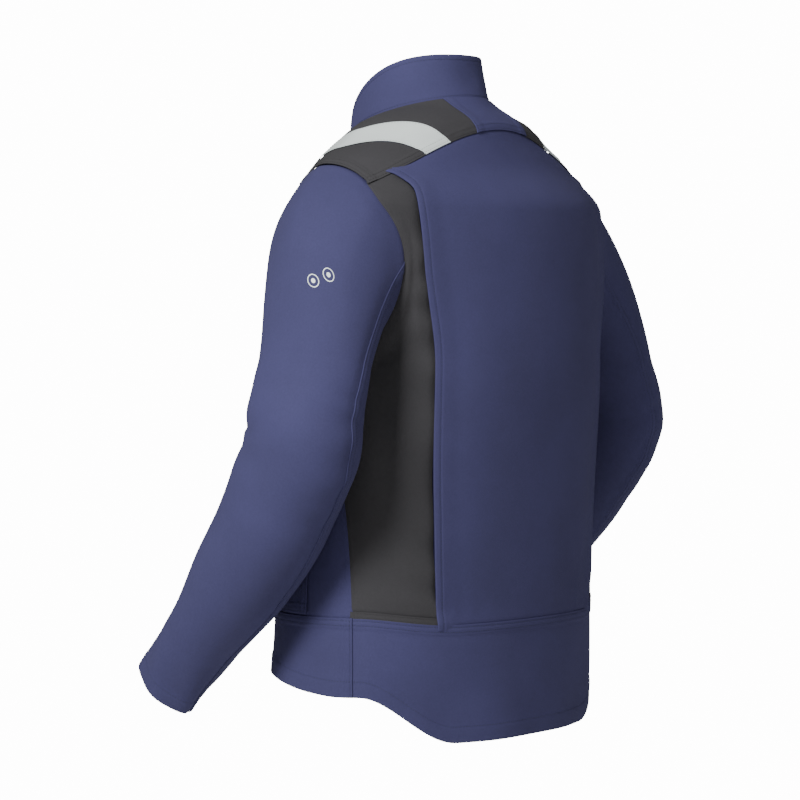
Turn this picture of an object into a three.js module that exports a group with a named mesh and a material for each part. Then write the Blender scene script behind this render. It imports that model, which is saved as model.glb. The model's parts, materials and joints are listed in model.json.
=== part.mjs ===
// Flame-retardant welder's jacket: stand collar, shoulder yokes with a reflective stripe over each shoulder,
// contrast side-back panels, drop-tail hem, two-piece sleeves, covered front zip. Millimetres, +Z up.
// The front faces -Y and the wearer's left is +X. While it is drawn, z is 0 at the bottom of the back hem.
// The finished group is moved so that its origin is where a hook carries the hang loop.
import * as THREE from "three";

// ---- driving dimensions ----
const bodyLength = 769; // centre back, hem to neck seam
const shoulderDrop = 86; // neck seam at the back down to the shoulder tip
const armholeHeight = 236; // shoulder tip down to the armpit
const armholeBack = 110; // side line to the back edge of the armhole
const armholeFront = 76; // side line to the front edge of the armhole
const hemPanelHeight = 139; // waist seam above the hem at the centre back
const waistRise = 10; // how much higher the waist seam is at the sides and front
const hemRise = 57; // side hem above the drop tail
const frontHemRise = 76; // front hem above the drop tail
const hipHalfWidth = 229;
const waistHalfWidth = 232;
const ribHalfWidth = 226;
const armpitHalfWidth = 223;
const chestHalfWidth = 243;
const hipDepth = 150; // side line to the centre back, at the hem
const bladeDepth = 174; // the same at the shoulder blades
const frontHemDepth = 166; // side line to the centre front, at the hem
const frontLean = 0.069; // the straight front edge comes back by this much for each mm of height
const neckHalfWidth = 80;
const neckCentreY = -27;
const neckFrontDrop = 72; // neck seam at the back down to the neck seam at the front
const collarHeight = 51; // at the centre back
const collarFrontHeight = 37; // at the front edges
const collarTaper = 0.93; // top ring over bottom ring
const collarLean = -6; // the top ring stands this much further forward
const roundness = 2.2; // exponent of the body's horizontal sections; 2 is an ellipse
const shoulderRoundness = 1.5; // the front's exponent at the shoulders, where it falls away to the sleeves
const cloth = 2.4; // shell cloth with its seam allowances
const thinCloth = 1.6; // one layer, as in the collar
const seamGap = 0.6; // each piece stops this far short of the seam line
const layerGap = 0.8; // between two pieces that lie on each other
const pocketGap = 1.8; // between a patch pocket and the front under it
const zipOpening = 8; // half the gap between the front edges
const zipTapeWidth = 9.6;
const zipTeethHalf = 2.8;
const zipTeethThick = 2.4;
const zipDepth = 2.4; // front face of the teeth behind the front edges' face
const flapWidth = 60;
const flapHinge = 26; // the storm flap is sewn down this far left of the centre
const flapStand = 2.4; // the flap's inner face in front of the front edges
const flapThick = 2.2;
const studRadius = 7.5;
const studCount = 4;
const bindingHeight = 8;
const stripeSlope = 0.5; // the stripe runs this much outwards for each mm forwards, behind the shoulder line
const stripeInner = 145; // stripe's inner edge from the centre, on the shoulder line
const stripeWidth = 38;
const yokeDrop = 41; // back yoke seam below the neck seam at the centre back
const neckYokeHalf = 47;
const cuffHemHeight = 18;
const loopHalf = 22;
const loopRise = 20;
const loopStand = 6; // the loop's strap stands this far inside the collar
const loopThick = 1.6;
const loopStrap = 6;

// ---- heights worked out from them ----
const tipHeight = bodyLength - shoulderDrop;
const armpitHeight = tipHeight - armholeHeight;
const armholeMiddle = (tipHeight + armpitHeight) / 2;
const yokeHeight = bodyLength - yokeDrop;
const neckFrontHeight = bodyLength - neckFrontDrop;
const degree = Math.PI / 180;

// The front edge is straight, and the neck seam ends on it.
const straightFront = (z) => frontHemDepth - frontLean * z;
const neckHalfDepth = straightFront(neckFrontHeight) + neckCentreY;

// Sections of the body from the hem up: half width, depth behind the side line, scoop of the front.
const sections = [
  { z: 0, half: hipHalfWidth, back: hipDepth },
  { z: hemPanelHeight, half: waistHalfWidth, back: hipDepth + 3 },
  { z: (hemPanelHeight + armpitHeight) / 2, half: ribHalfWidth, back: bladeDepth - 11 },
  { z: armpitHeight, half: armpitHalfWidth, back: bladeDepth },
  { z: armpitHeight + 115, half: chestHalfWidth, back: bladeDepth - 4 },
  { z: tipHeight - 52, half: chestHalfWidth, back: bladeDepth - 12 },
  { z: tipHeight + 2, half: chestHalfWidth - 36, back: bladeDepth - 53 },
  { z: tipHeight + 29, half: chestHalfWidth - 77, back: bladeDepth - 66, scoop: 3 },
  { z: tipHeight + 52, half: chestHalfWidth - 113, back: bladeDepth - 75, scoop: 21 },
  { z: tipHeight + 75, half: neckHalfWidth, back: bladeDepth - 103, scoop: 58 },
  { z: tipHeight + 98, half: neckHalfWidth - 26, back: bladeDepth - 124, scoop: 84 },
].map((s) => ({ ...s, front: straightFront(s.z) - (s.scoop ?? 0) }));

const clamp01 = (t) => Math.min(1, Math.max(0, t));
const smooth = (t) => clamp01(t) ** 2 * (3 - 2 * clamp01(t));
const mix = (a, b, t) => a + (b - a) * t;

// Monotone cubic through (x, y) knots, so that a section never bulges past its neighbours.
function monotone(x, y) {
  const steps = x.slice(1).map((v, i) => v - x[i]);
  const slopes = steps.map((h, i) => (y[i + 1] - y[i]) / h);
  const inner = slopes.slice(1).map((right, i) => {
    const left = slopes[i];
    return left * right <= 0 ? 0 : (2 * left * right) / (left + right);
  });
  const tangents = [slopes[0], ...inner, slopes[slopes.length - 1]];
  return (at) => {
    const past = x.findIndex((v, i) => i > 0 && at <= v);
    const i = past < 0 ? steps.length - 1 : past - 1;
    const t = (at - x[i]) / steps[i];
    if (t < 0) return y[0] + slopes[0] * (at - x[0]);
    if (t > 1) return y[y.length - 1] + slopes[i] * (at - x[x.length - 1]);
    const bend = steps[i] * t * (1 - t);
    return mix(y[i], y[i + 1], smooth(t)) + bend * ((1 - t) * tangents[i] - t * tangents[i + 1]);
  };
}
const heights = sections.map((s) => s.z);
const halfAt = monotone(heights, sections.map((s) => s.half));
const backAt = monotone(heights, sections.map((s) => s.back));
const frontAt = monotone(heights, sections.map((s) => s.front));

// Exponent of a section's back or front half at a height.
const roundnessAt = (z, front) =>
  front ? mix(roundness, shoulderRoundness, smooth((z - tipHeight + 100) / 110)) : roundness;

const signedPower = (value, power) => Math.sign(value) * Math.abs(value) ** power;

// Point of the body at an angle from the centre back (positive to the wearer's left) and a height.
function bodyPoint(angle, z) {
  const front = Math.cos(angle) < 0;
  const depth = front ? frontAt(z) : backAt(z);
  const power = 2 / roundnessAt(z, front);
  return new THREE.Vector3(
    halfAt(z) * signedPower(Math.sin(angle), power),
    depth * signedPower(Math.cos(angle), power),
    z,
  );
}

// Angle, up to a quarter turn, at which the body is this far from the side line or from the centre.
const angleAtDepth = (y, z, front) => {
  const share = clamp01(y / (front ? frontAt(z) : backAt(z)));
  return Math.acos(share ** (roundnessAt(z, front) / 2));
};
const angleAtWidth = (x, z, front) =>
  Math.asin(clamp01(x / halfAt(z)) ** (roundnessAt(z, front) / 2));

function bisect(low, high, tooLow) {
  for (let i = 0; i < 40; i += 1) {
    const middle = (low + high) / 2;
    if (tooLow(middle)) low = middle;
    else high = middle;
  }
  return (low + high) / 2;
}

// ---- neck and shoulder ----
const neckHeight = (turn) => neckFrontHeight + neckFrontDrop * Math.cos(turn / 2);
const neckPoint = (turn) =>
  new THREE.Vector3(
    neckHalfWidth * Math.sin(turn),
    neckCentreY + neckHalfDepth * Math.cos(turn),
    neckHeight(turn),
  );

// Height of the body over a point in plan, up on the shoulders.
function sectionHeight(x, y) {
  const full = (z) => {
    const depth = y > 0 ? backAt(z) : frontAt(z);
    const power = roundnessAt(z, y < 0);
    return (Math.abs(x) / halfAt(z)) ** power + (Math.abs(y) / depth) ** power;
  };
  return bisect(tipHeight - 160, tipHeight + 98, (z) => full(z) < 1);
}

// The same, lifted near the neck so that it meets the neck seam.
function shoulderPoint(x, y) {
  const turn = Math.atan2(x / neckHalfWidth, (y - neckCentreY) / neckHalfDepth);
  const ring = Math.hypot(x / neckHalfWidth, (y - neckCentreY) / neckHalfDepth);
  const seam = neckPoint(turn);
  const share = clamp01(1 - (ring - 1) / 0.35) ** 2;
  const lift = seam.z - sectionHeight(seam.x, seam.y);
  return new THREE.Vector3(x, y, sectionHeight(x, y) + share * lift);
}

// ---- seam lines ----
const waistHeight = (angle) =>
  hemPanelHeight + waistRise * smooth((Math.abs(angle) / degree - 30) / 40);
const hemHeight = (angle) => {
  const turned = Math.abs(angle) / degree;
  return hemRise * smooth((turned - 30) / 39) + (frontHemRise - hemRise) * smooth((turned - 75) / 55);
};
const sideSeamAngle = (z) => {
  const above = clamp01((z - hemPanelHeight) / (armpitHeight - hemPanelHeight));
  return degree * (72.3 + 17.7 * above ** 1.6);
};
const backYokeSeam = (x) => yokeHeight - (Math.hypot(0.55 * x, 60) - 60);
const frontNeckEnd = 0.82 * neckHalfWidth; // where the front yoke seam meets the neck seam
const frontNeckTurn = Math.PI - Math.asin(frontNeckEnd / neckHalfWidth);
const frontYokeSeam = (x) => neckHeight(frontNeckTurn) - 0.52 * (x - frontNeckEnd);
const frontTop = (x) =>
  x < frontNeckEnd ? neckHeight(Math.PI - Math.asin(x / neckHalfWidth)) : frontYokeSeam(x);

// How far back or forward the body is where a yoke seam passes over x.
const backSeam = (x) => bodyPoint(angleAtWidth(x, backYokeSeam(x), false), backYokeSeam(x)).y;
const frontFace = (x) =>
  bodyPoint(Math.PI - angleAtWidth(x, frontYokeSeam(x), true), frontYokeSeam(x)).y;
const frontSeam = (x) => {
  const share = clamp01(1 - (x - frontNeckEnd) / 70) ** 2;
  return frontFace(x) + share * (neckPoint(frontNeckTurn).y - frontFace(frontNeckEnd));
};

// Height at which a top line, given as a height over x, crosses the body at this angle.
const crossing = (line, angle) =>
  bisect(tipHeight - 120, tipHeight + 75, (z) => z < line(Math.abs(bodyPoint(angle, z).x)));

const armholeReach = (z) => Math.sqrt(1 - clamp01(Math.abs(z - armholeMiddle) / (armholeHeight / 2)) ** 2);
const armholeAngle = (z, front) =>
  front
    ? Math.PI - angleAtDepth(armholeFront * armholeReach(z), z, true)
    : angleAtDepth(armholeBack * armholeReach(z), z, false);
const armholeYokeHeight = (line, front) =>
  bisect(armholeMiddle, tipHeight - 1, (z) => z < line(bodyPoint(armholeAngle(z, front), z).x));
const backYokeEnd = armholeYokeHeight(backYokeSeam, false);
const frontYokeEnd = armholeYokeHeight(frontYokeSeam, true);

// The sleeve's seam line on the body: 0 is the back of the armhole, a quarter turn is the shoulder tip.
function armholePoint(turn) {
  const z = armholeMiddle + (armholeHeight / 2) * Math.sin(turn);
  return bodyPoint(armholeAngle(z, Math.cos(turn) < 0), z);
}

// The action pleat's fold, as a share of the way from the waist seam to the yoke seam.
const pleatAngle = (v) =>
  degree *
  (38 +
    6.2 * Math.sin((Math.PI / 2) * Math.min(v / 0.55, 1)) +
    1.8 * clamp01((v - 0.75) / 0.25) +
    9 * clamp01((v - 0.95) / 0.05) ** 3);

// ---- shells ----
// A patch between four border lines that share their corners.
const coons = (left, right, low, high) => (u, v) => {
  const [l, r, b, t] = [left(v), right(v), low(u), high(u)];
  const [b0, b1, t0, t1] = [low(0), low(1), high(0), high(1)];
  return [0, 1].map(
    (k) =>
      mix(l[k], r[k], u) + mix(b[k], t[k], v) - mix(mix(b0[k], b1[k], u), mix(t0[k], t1[k], u), v),
  );
};
const across = (a, b) => (t) => [mix(a[0], b[0], t), mix(a[1], b[1], t)];

// Outward normal of a surface by differences. u x v faces out.
function normalOf(surface, u, v) {
  const step = 1e-3;
  const [u0, u1] = [Math.max(0, u - step), Math.min(1, u + step)];
  const [v0, v1] = [Math.max(0, v - step), Math.min(1, v + step)];
  const alongU = surface(u1, v).sub(surface(u0, v));
  const alongV = surface(u, v1).sub(surface(u, v0));
  return alongU.cross(alongV).normalize();
}

// Millimetres that one unit of u or v covers beside a border.
function speed(surface, u, v, alongU, alongV = 0) {
  const step = 0.02;
  return surface(u, v).distanceTo(surface(u + step * alongU, v + step * alongV)) / step;
}

// A closed shell: the surface from `outer` to `inner` mm below it, drawn in by `gap` on all four sides.
function shell(surface, { columns, rows, outer = 0, inner = cloth, gap = seamGap }) {
  const geometry = new THREE.BoxGeometry(1, 1, 1, columns, rows, 1);
  const place = geometry.getAttribute("position");
  for (let i = 0; i < place.count; i += 1) {
    const [u, v] = [place.getX(i) + 0.5, place.getY(i) + 0.5];
    const at = [
      mix(gap / speed(surface, 0, v, 1), 1 - gap / speed(surface, 1, v, -1), u),
      mix(gap / speed(surface, u, 0, 0, 1), 1 - gap / speed(surface, u, 1, 0, -1), v),
    ];
    const depth = place.getZ(i) > 0 ? outer : inner;
    const point = surface(...at).addScaledVector(normalOf(surface, ...at), -depth);
    place.setXYZ(i, point.x, point.y, point.z);
  }
  geometry.computeVertexNormals();
  return geometry;
}

const mirrored = (surface) => (u, v) => surface(1 - u, v).multiply(new THREE.Vector3(-1, 1, 1));
const onBody = (patch) => (u, v) => bodyPoint(...patch(u, v));
const onShoulder = (patch) => (u, v) => shoulderPoint(...patch(u, v));

// ---- materials ----
const finish = (color, roughness, metalness = 0) =>
  new THREE.MeshStandardMaterial({ color, roughness, metalness });
const navyTwill = finish("#40445f", 0.85);
const charcoalTwill = finish("#403f42", 0.85);
const reflectiveTape = finish("#d7dedc", 0.5);
const navyTape = finish("#2a2d42", 0.8);
const darkMetal = finish("#3c3d42", 0.35, 1);

const jacket = new THREE.Group();
const add = (name, geometry, material, parent = jacket) => {
  const mesh = new THREE.Mesh(geometry, material);
  mesh.name = name;
  parent.add(mesh);
  return mesh;
};
const addPair = (name, surface, material, options) => {
  add(`left_${name}`, shell(surface, options), material);
  add(`right_${name}`, shell(mirrored(surface), options), material);
};

// ---- back ----
function buildBack() {
  const topAt = (u) => {
    const angle = mix(pleatAngle(1), -pleatAngle(1), u);
    return [angle, crossing(backYokeSeam, angle)];
  };
  const waistAt = (u) => {
    const angle = mix(pleatAngle(0), -pleatAngle(0), u);
    return [angle, waistHeight(angle)];
  };
  const panel = (u, v) =>
    bodyPoint(mix(pleatAngle(v), -pleatAngle(v), u), mix(waistAt(u)[1], topAt(u)[1], v));
  add("back_panel", shell(panel, { columns: 14, rows: 20 }), navyTwill);

  const tail = coons(
    (v) => [sideSeamAngle(0), mix(hemHeight(sideSeamAngle(0)), waistHeight(sideSeamAngle(0)), v)],
    (v) => [-sideSeamAngle(0), mix(hemHeight(sideSeamAngle(0)), waistHeight(sideSeamAngle(0)), v)],
    (u) => [mix(1, -1, u) * sideSeamAngle(0), hemHeight(mix(1, -1, u) * sideSeamAngle(0))],
    (u) => [mix(1, -1, u) * sideSeamAngle(0), waistHeight(mix(1, -1, u) * sideSeamAngle(0))],
  );
  add("back_hem_panel", shell(onBody(tail), { columns: 24, rows: 3 }), navyTwill);
}

// The side-back panel lies between the pleat's fold and the side seam, then the armhole.
function buildSideBack() {
  const top = crossing(backYokeSeam, pleatAngle(1));
  const outerAngle = (v) => {
    const z = mix(waistHeight(sideSeamAngle(0)), backYokeEnd, v);
    return z < armpitHeight ? sideSeamAngle(z) : armholeAngle(z, false);
  };
  const whole = (u, v) => {
    const bottom = waistHeight(mix(sideSeamAngle(0), pleatAngle(0), u));
    return bodyPoint(mix(outerAngle(v), pleatAngle(v), u), mix(bottom, mix(backYokeEnd, top, u), v));
  };
  const bindingShare = bindingHeight / (top - hemPanelHeight);
  const above = (u, v) => whole(u, mix(bindingShare, 1, v));
  const band = (u, v) => whole(u, bindingShare * v);
  addPair("side_back_panel", above, charcoalTwill, { columns: 5, rows: 20 });
  addPair("waist_binding", band, charcoalTwill, { columns: 5, rows: 1 });
}

// ---- front ----
const frontEdgeAngle = (z) => Math.PI - angleAtWidth(zipOpening, z, true);

function buildFront() {
  const edgeTop = neckHeight(Math.PI - Math.asin(zipOpening / neckHalfWidth));
  const topAngle = (u) => mix(frontEdgeAngle(edgeTop), armholeAngle(frontYokeEnd, true), u);
  const topAt = (u) => crossing(frontTop, topAngle(u));
  const bottom = hemPanelHeight + waistRise;
  const panel = (u, v) => {
    const z = mix(bottom, topAt(u), v);
    const sideHeight = mix(bottom, topAt(1), v);
    const side = sideHeight < armpitHeight ? sideSeamAngle(sideHeight) : armholeAngle(sideHeight, true);
    const point = bodyPoint(mix(frontEdgeAngle(mix(bottom, edgeTop, v)), side, u), z);
    const top = bodyPoint(topAngle(u), topAt(u));
    const seam =
      top.x < frontNeckEnd
        ? neckPoint(Math.PI - Math.asin(top.x / neckHalfWidth))
        : shoulderPoint(top.x, frontSeam(top.x));
    return point.addScaledVector(seam.sub(top), clamp01((v - 0.8) / 0.2) ** 2);
  };
  addPair("front_panel", panel, navyTwill, { columns: 14, rows: 18 });

  const hem = (u, v) => {
    const angle = mix(frontEdgeAngle(hemPanelHeight), sideSeamAngle(0), u);
    return bodyPoint(angle, mix(hemHeight(angle), waistHeight(angle), v));
  };
  addPair("front_hem_panel", hem, navyTwill, { columns: 9, rows: 2 });
}

// ---- shoulders ----
const stripeEdge = (offset) => (y) => offset - stripeSlope * Math.max(0, y) ** 1.02;

function buildShoulders() {
  const inner = stripeEdge(stripeInner);
  const outer = stripeEdge(stripeInner + stripeWidth);
  // An edge of the stripe runs from the front seam to the back seam.
  const edgeLine = (edge) => {
    const end = bisect(0, bladeDepth, (y) => y < backSeam(edge(y)));
    const start = frontSeam(edge(0));
    return (v) => [edge(mix(start, end, v)), mix(start, end, v)];
  };
  const seamRow = (seam, from, to) => (u) => [mix(from, to, u), seam(mix(from, to, u))];
  const [innerLine, outerLine] = [edgeLine(inner), edgeLine(outer)];
  const backTurn = Math.asin((backYokeEnd - armholeMiddle) / (armholeHeight / 2));
  const frontTurn = Math.PI - Math.asin((frontYokeEnd - armholeMiddle) / (armholeHeight / 2));
  const armholeLine = (v) => armholePoint(mix(frontTurn, backTurn, v)).toArray();

  const stripe = coons(
    innerLine,
    outerLine,
    seamRow(frontSeam, innerLine(0)[0], outerLine(0)[0]),
    seamRow(backSeam, innerLine(1)[0], outerLine(1)[0]),
  );
  addPair("reflective_stripe", onShoulder(stripe), reflectiveTape, { columns: 3, rows: 12 });

  const outerYoke = coons(
    outerLine,
    armholeLine,
    seamRow(frontSeam, outerLine(0)[0], armholeLine(0)[0]),
    seamRow(backSeam, outerLine(1)[0], armholeLine(1)[0]),
  );
  addPair("outer_shoulder_yoke", onShoulder(outerYoke), charcoalTwill, { columns: 3, rows: 12 });

  // The inner yoke follows the neck seam, then the edge of the neck yoke down to the back seam.
  const corner = 0.75;
  const cornerTurn = Math.asin((neckYokeHalf - 1) / neckHalfWidth);
  const neckLine = (v) => {
    if (v < corner) return neckPoint(mix(frontNeckTurn, cornerTurn, v / corner)).toArray();
    const top = neckPoint(cornerTurn);
    const share = (v - corner) / (1 - corner);
    return [mix(top.x, neckYokeHalf, share), mix(top.y, backSeam(neckYokeHalf), share)];
  };
  const innerYoke = coons(
    neckLine,
    innerLine,
    seamRow(frontSeam, frontNeckEnd, innerLine(0)[0]),
    seamRow(backSeam, neckYokeHalf, innerLine(1)[0]),
  );
  addPair("inner_shoulder_yoke", onShoulder(innerYoke), charcoalTwill, { columns: 4, rows: 12 });

  const neckYoke = coons(
    (v) => [-neckLine(mix(corner, 1, v))[0], neckLine(mix(corner, 1, v))[1]],
    (v) => neckLine(mix(corner, 1, v)),
    (u) => neckPoint(mix(-cornerTurn, cornerTurn, u)).toArray(),
    (u) => [mix(-neckYokeHalf, neckYokeHalf, u), backSeam(Math.abs(mix(-neckYokeHalf, neckYokeHalf, u)))],
  );
  add("back_neck_yoke", shell(onShoulder(neckYoke), { columns: 8, rows: 4 }), navyTwill);
}

// ---- collar ----
const collarTop = (turn) => {
  const share = Math.sin((Math.PI / 2) * ((1 + Math.cos(turn)) / 2) ** 0.85);
  const low = neckPoint(turn);
  return new THREE.Vector3(
    low.x * collarTaper,
    neckCentreY + collarLean + collarTaper * (low.y - neckCentreY) + 3 * (1 - share),
    mix(neckFrontHeight + collarFrontHeight, bodyLength + collarHeight, share),
  );
};

function buildCollar() {
  const band = (edge) => (u, v) => {
    const end = Math.PI - Math.asin(edge / neckHalfWidth);
    const turn = mix(end, -end, u);
    return neckPoint(turn).lerp(collarTop(turn), mix(0.02, 1, v));
  };
  const size = { columns: 30, rows: 3 };
  add("collar", shell(band(zipOpening), { ...size, inner: thinCloth }), navyTwill);
  const lining = { ...size, outer: thinCloth + layerGap, inner: 2 * thinCloth + layerGap };
  add("collar_lining", shell(band(2 * zipOpening), lining), navyTwill);
}

// ---- sleeves ----
// Stations down the left sleeve from below the armpit: centre, half depth (front to back), half width.
const sleeveStations = [
  { at: [279, 46, armpitHeight - 1], depth: 71, width: 55 },
  { at: [301, 48, armpitHeight - 75], depth: 71, width: 60 },
  { at: [293, 4, armpitHeight - 163], depth: 66, width: 60 },
  { at: [287, -60, armpitHeight - 247], depth: 62, width: 55 },
  { at: [280, -134, armpitHeight - 325], depth: 47, width: 48 },
  { at: [279, -190, armpitHeight - 389], depth: 45, width: 39 },
];
const sleeveLine = new THREE.CatmullRomCurve3(
  sleeveStations.map((s) => new THREE.Vector3(...s.at)),
  false,
  "centripetal",
);
const stationNumber = sleeveStations.map((s, i) => i / (sleeveStations.length - 1));
const sleeveDepth = monotone(stationNumber, sleeveStations.map((s) => s.depth));
const sleeveWidth = monotone(stationNumber, sleeveStations.map((s) => s.width));
const elbowAt = 1 / (sleeveStations.length - 1);

// Down the tube, `along` is 0 at the armpit and 1 at the cuff; the turn is 0 at the back, a quarter outside.
function tubePoint(along, turn) {
  const ahead = sleeveLine.getTangent(along);
  const behind = new THREE.Vector3(0, 1, 0).addScaledVector(ahead, -ahead.y).normalize();
  const outside = new THREE.Vector3().crossVectors(ahead, behind);
  return sleeveLine
    .getPoint(along)
    .addScaledVector(behind, sleeveDepth(along) * Math.cos(turn))
    .addScaledVector(outside, sleeveWidth(along) * Math.sin(turn));
}

// The sleeve head bends from the armhole seam into the tube.
function headPoint(share, turn) {
  const start = armholePoint(turn);
  const end = tubePoint(0, turn);
  const reach = start.distanceTo(end);
  const fall = degree * (46 - 18 * Math.sin(turn));
  const leave = new THREE.Vector3(Math.cos(fall), 0, -Math.sin(fall));
  leave.multiplyScalar(reach * (0.75 + 0.4 * Math.sin(turn)));
  const arrive = sleeveLine.getTangent(0).multiplyScalar(reach * (0.65 + 0.25 * Math.sin(turn)));
  const t = share;
  return start
    .multiplyScalar((1 + 2 * t) * (1 - t) ** 2)
    .addScaledVector(leave, t * (1 - t) ** 2)
    .addScaledVector(end, t * t * (3 - 2 * t))
    .addScaledVector(arrive, t * t * (t - 1));
}

const backSeamTurn = 0;
const frontSeamTurn = 210 * degree;
const fullTurn = 2 * Math.PI;
const headStart = 0.02; // clears the armhole edge of the body
const upperStart = 0.72; // the part of the head that stays round on the arm
const elbowSpread = 0.078; // half of the part round the elbow that creases
const cuffStart = 1 - cuffHemHeight / sleeveLine.getLength();

function buildSleeves() {
  const sleevePoint = (along, turn) => (along < 0 ? headPoint(1 + along, turn) : tubePoint(along, turn));
  // Looking from outside, turns run towards u and the way up the sleeve is v.
  const piece = (low, high, from, to) => (u, v) => sleevePoint(mix(low, high, v), mix(from, to, u));
  const headTop = headStart - 1;
  const upperTop = upperStart - 1;
  const armpitTurn = 270 * degree;
  const top = [frontSeamTurn, backSeamTurn];
  const under = [fullTurn, frontSeamTurn];
  const whole = [armpitTurn, armpitTurn - fullTurn];
  const elbow = [elbowAt + elbowSpread, elbowAt - elbowSpread];
  // Every piece has a facet for each 15 degrees of turn, so that neighbours' facets line up.
  const shape = (columns, rows) => ({ inner: thinCloth, gap: 1.5 * seamGap, columns, rows });
  const [topFacets, underFacets, allFacets] = [14, 10, 24];
  addPair("sleeve_head", piece(upperTop, headTop, ...whole), navyTwill, shape(allFacets, 6));
  addPair("upper_top_sleeve", piece(elbow[1], upperTop, ...top), navyTwill, shape(topFacets, 4));
  addPair("upper_under_sleeve", piece(elbow[1], upperTop, ...under), navyTwill, shape(underFacets, 4));
  addPair("elbow", piece(...elbow, ...whole), navyTwill, shape(allFacets, 2));
  addPair("lower_top_sleeve", piece(cuffStart, elbow[0], ...top), navyTwill, shape(topFacets, 7));
  addPair("lower_under_sleeve", piece(cuffStart, elbow[0], ...under), navyTwill, shape(underFacets, 7));
  addPair("cuff_hem", piece(1, cuffStart, ...whole), navyTwill, shape(allFacets, 1));
}

// ---- pockets ----
const lift = pocketGap + cloth;
const chestPocket = { from: 164, to: 141, low: 440, high: 545, flapLow: 510, flapHigh: 552 };

function buildPockets() {
  const handPocketTop = hemPanelHeight + 190;
  const handPocket = coons(
    (v) => [152 * degree, mix(hemPanelHeight + waistRise + 4, handPocketTop, v)],
    (v) => [
      mix(92, 118, smooth(v * 1.6 - 0.6)) * degree,
      mix(hemPanelHeight + waistRise + 4, handPocketTop, v),
    ],
    across([152 * degree, hemPanelHeight + waistRise + 4], [92 * degree, hemPanelHeight + waistRise + 4]),
    across([152 * degree, handPocketTop], [118 * degree, handPocketTop]),
  );
  const patch = { columns: 9, rows: 8, outer: -lift, inner: -pocketGap };
  addPair("hand_pocket", onBody(handPocket), navyTwill, patch);

  const { from, to, low, high, flapLow, flapHigh } = chestPocket;
  const area = (bottom, top) => (u, v) => bodyPoint(mix(from, to, u) * degree, mix(bottom, top, v));
  add("chest_pocket", shell(area(low, high), { ...patch, columns: 4, rows: 3 }), navyTwill);
  const flap = { ...patch, columns: 4, rows: 2, outer: -2 * lift, inner: -lift - pocketGap };
  add("chest_pocket_flap", shell(area(flapLow, flapHigh), flap), navyTwill);
}

// ---- front fastening, in a group that leans with the straight front edge ----
const fastening = new THREE.Group();
fastening.position.y = -frontHemDepth;
fastening.rotation.x = -Math.atan(frontLean);
jacket.add(fastening);

// A plate with a chamfered outline, given by its edges across, in depth and up.
function plate(x0, x1, y0, y1, z0, z1, chamfer = 0.6) {
  const [w, h] = [x1 - x0, z1 - z0];
  const outline = new THREE.Shape([
    [chamfer, 0],
    [w - chamfer, 0],
    [w, chamfer],
    [w, h - chamfer],
    [w - chamfer, h],
    [chamfer, h],
    [0, h - chamfer],
    [0, chamfer],
  ].map(([x, y]) => new THREE.Vector2(x, y)));
  const geometry = new THREE.ExtrudeGeometry(outline, { depth: y1 - y0, bevelEnabled: false });
  geometry.rotateX(Math.PI / 2);
  geometry.translate(x0, y1, z0);
  return geometry;
}

const zipTop = neckFrontHeight + collarFrontHeight - 2;
const zipBottom = frontHemRise + 4;
const boxHeight = 12;
const sliderLength = 11;
const pullLength = 26;
const sliderTop = zipTop - 3;

function buildZip() {
  const teeth = [zipDepth, zipDepth + zipTeethThick];
  const tapeFace = zipDepth + 1.6;
  const tapeStart = zipTeethHalf + 0.6;
  const tape = (side) => {
    const edges = [side * tapeStart, side * (tapeStart + zipTapeWidth)].sort((a, b) => a - b);
    return plate(...edges, tapeFace, tapeFace + 0.8, zipBottom, zipTop);
  };
  add("left_zip_tape", tape(1), navyTape, fastening);
  add("right_zip_tape", tape(-1), navyTape, fastening);
  const chainBottom = zipBottom + boxHeight + 0.4;
  add("zip_chain", plate(-zipTeethHalf, zipTeethHalf, ...teeth, chainBottom, zipTop), darkMetal, fastening);
  const boxTop = zipBottom + boxHeight;
  const box = plate(-zipTeethHalf, zipTeethHalf, teeth[0] - 0.8, teeth[1] + 0.8, zipBottom, boxTop);
  add("zip_box", box, darkMetal, fastening);

  const sliderBottom = sliderTop - sliderLength;
  const front = plate(-5, 5, zipDepth - 2.4, zipDepth - 0.5, sliderBottom, sliderTop, 2.5);
  const back = plate(-5, 5, teeth[1] + 0.5, teeth[1] + 1.7, sliderBottom, sliderTop, 2.5);
  add("zip_slider", front, darkMetal, fastening);
  add("zip_slider_back", back, darkMetal, fastening);
  const pullTop = sliderBottom + 5;
  const pull = plate(-3, 3, zipDepth - 3.8, zipDepth - 2.7, pullTop - pullLength, pullTop, 1.5);
  add("zip_pull", pull, darkMetal, fastening);
}

// A press stud's disc, facing out, between two depths.
function disc(radius, face, back, x, z) {
  const profile = [
    [0, face],
    [radius - 0.8, face],
    [radius, face + 0.8],
    [radius, back],
    [0, back],
  ].map(([r, y]) => new THREE.Vector2(r, -y));
  const geometry = new THREE.LatheGeometry(profile.reverse(), 20);
  geometry.rotateX(Math.PI);
  geometry.translate(x, 0, z);
  return geometry;
}

function buildStormFlap() {
  const bottom = frontHemRise + 2;
  const edge = flapHinge - flapWidth;
  const flap = plate(edge, flapHinge, -flapStand - flapThick, -flapStand, bottom, zipTop + 2, 4);
  add("storm_flap", flap, navyTwill, fastening);
  const studX = edge + 14;
  for (let i = 0; i < studCount; i += 1) {
    const z = mix(bottom + 40, zipTop - 100, i / (studCount - 1));
    const face = -flapStand - flapThick - 0.3;
    add(`flap_stud_cap_${i + 1}`, disc(studRadius, face - 1.8, face, studX, z), darkMetal, fastening);
    const base = disc(studRadius - 2, -flapStand + 0.4, -0.6, studX, z);
    add(`flap_stud_post_${i + 1}`, base, darkMetal, fastening);
  }
}

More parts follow.
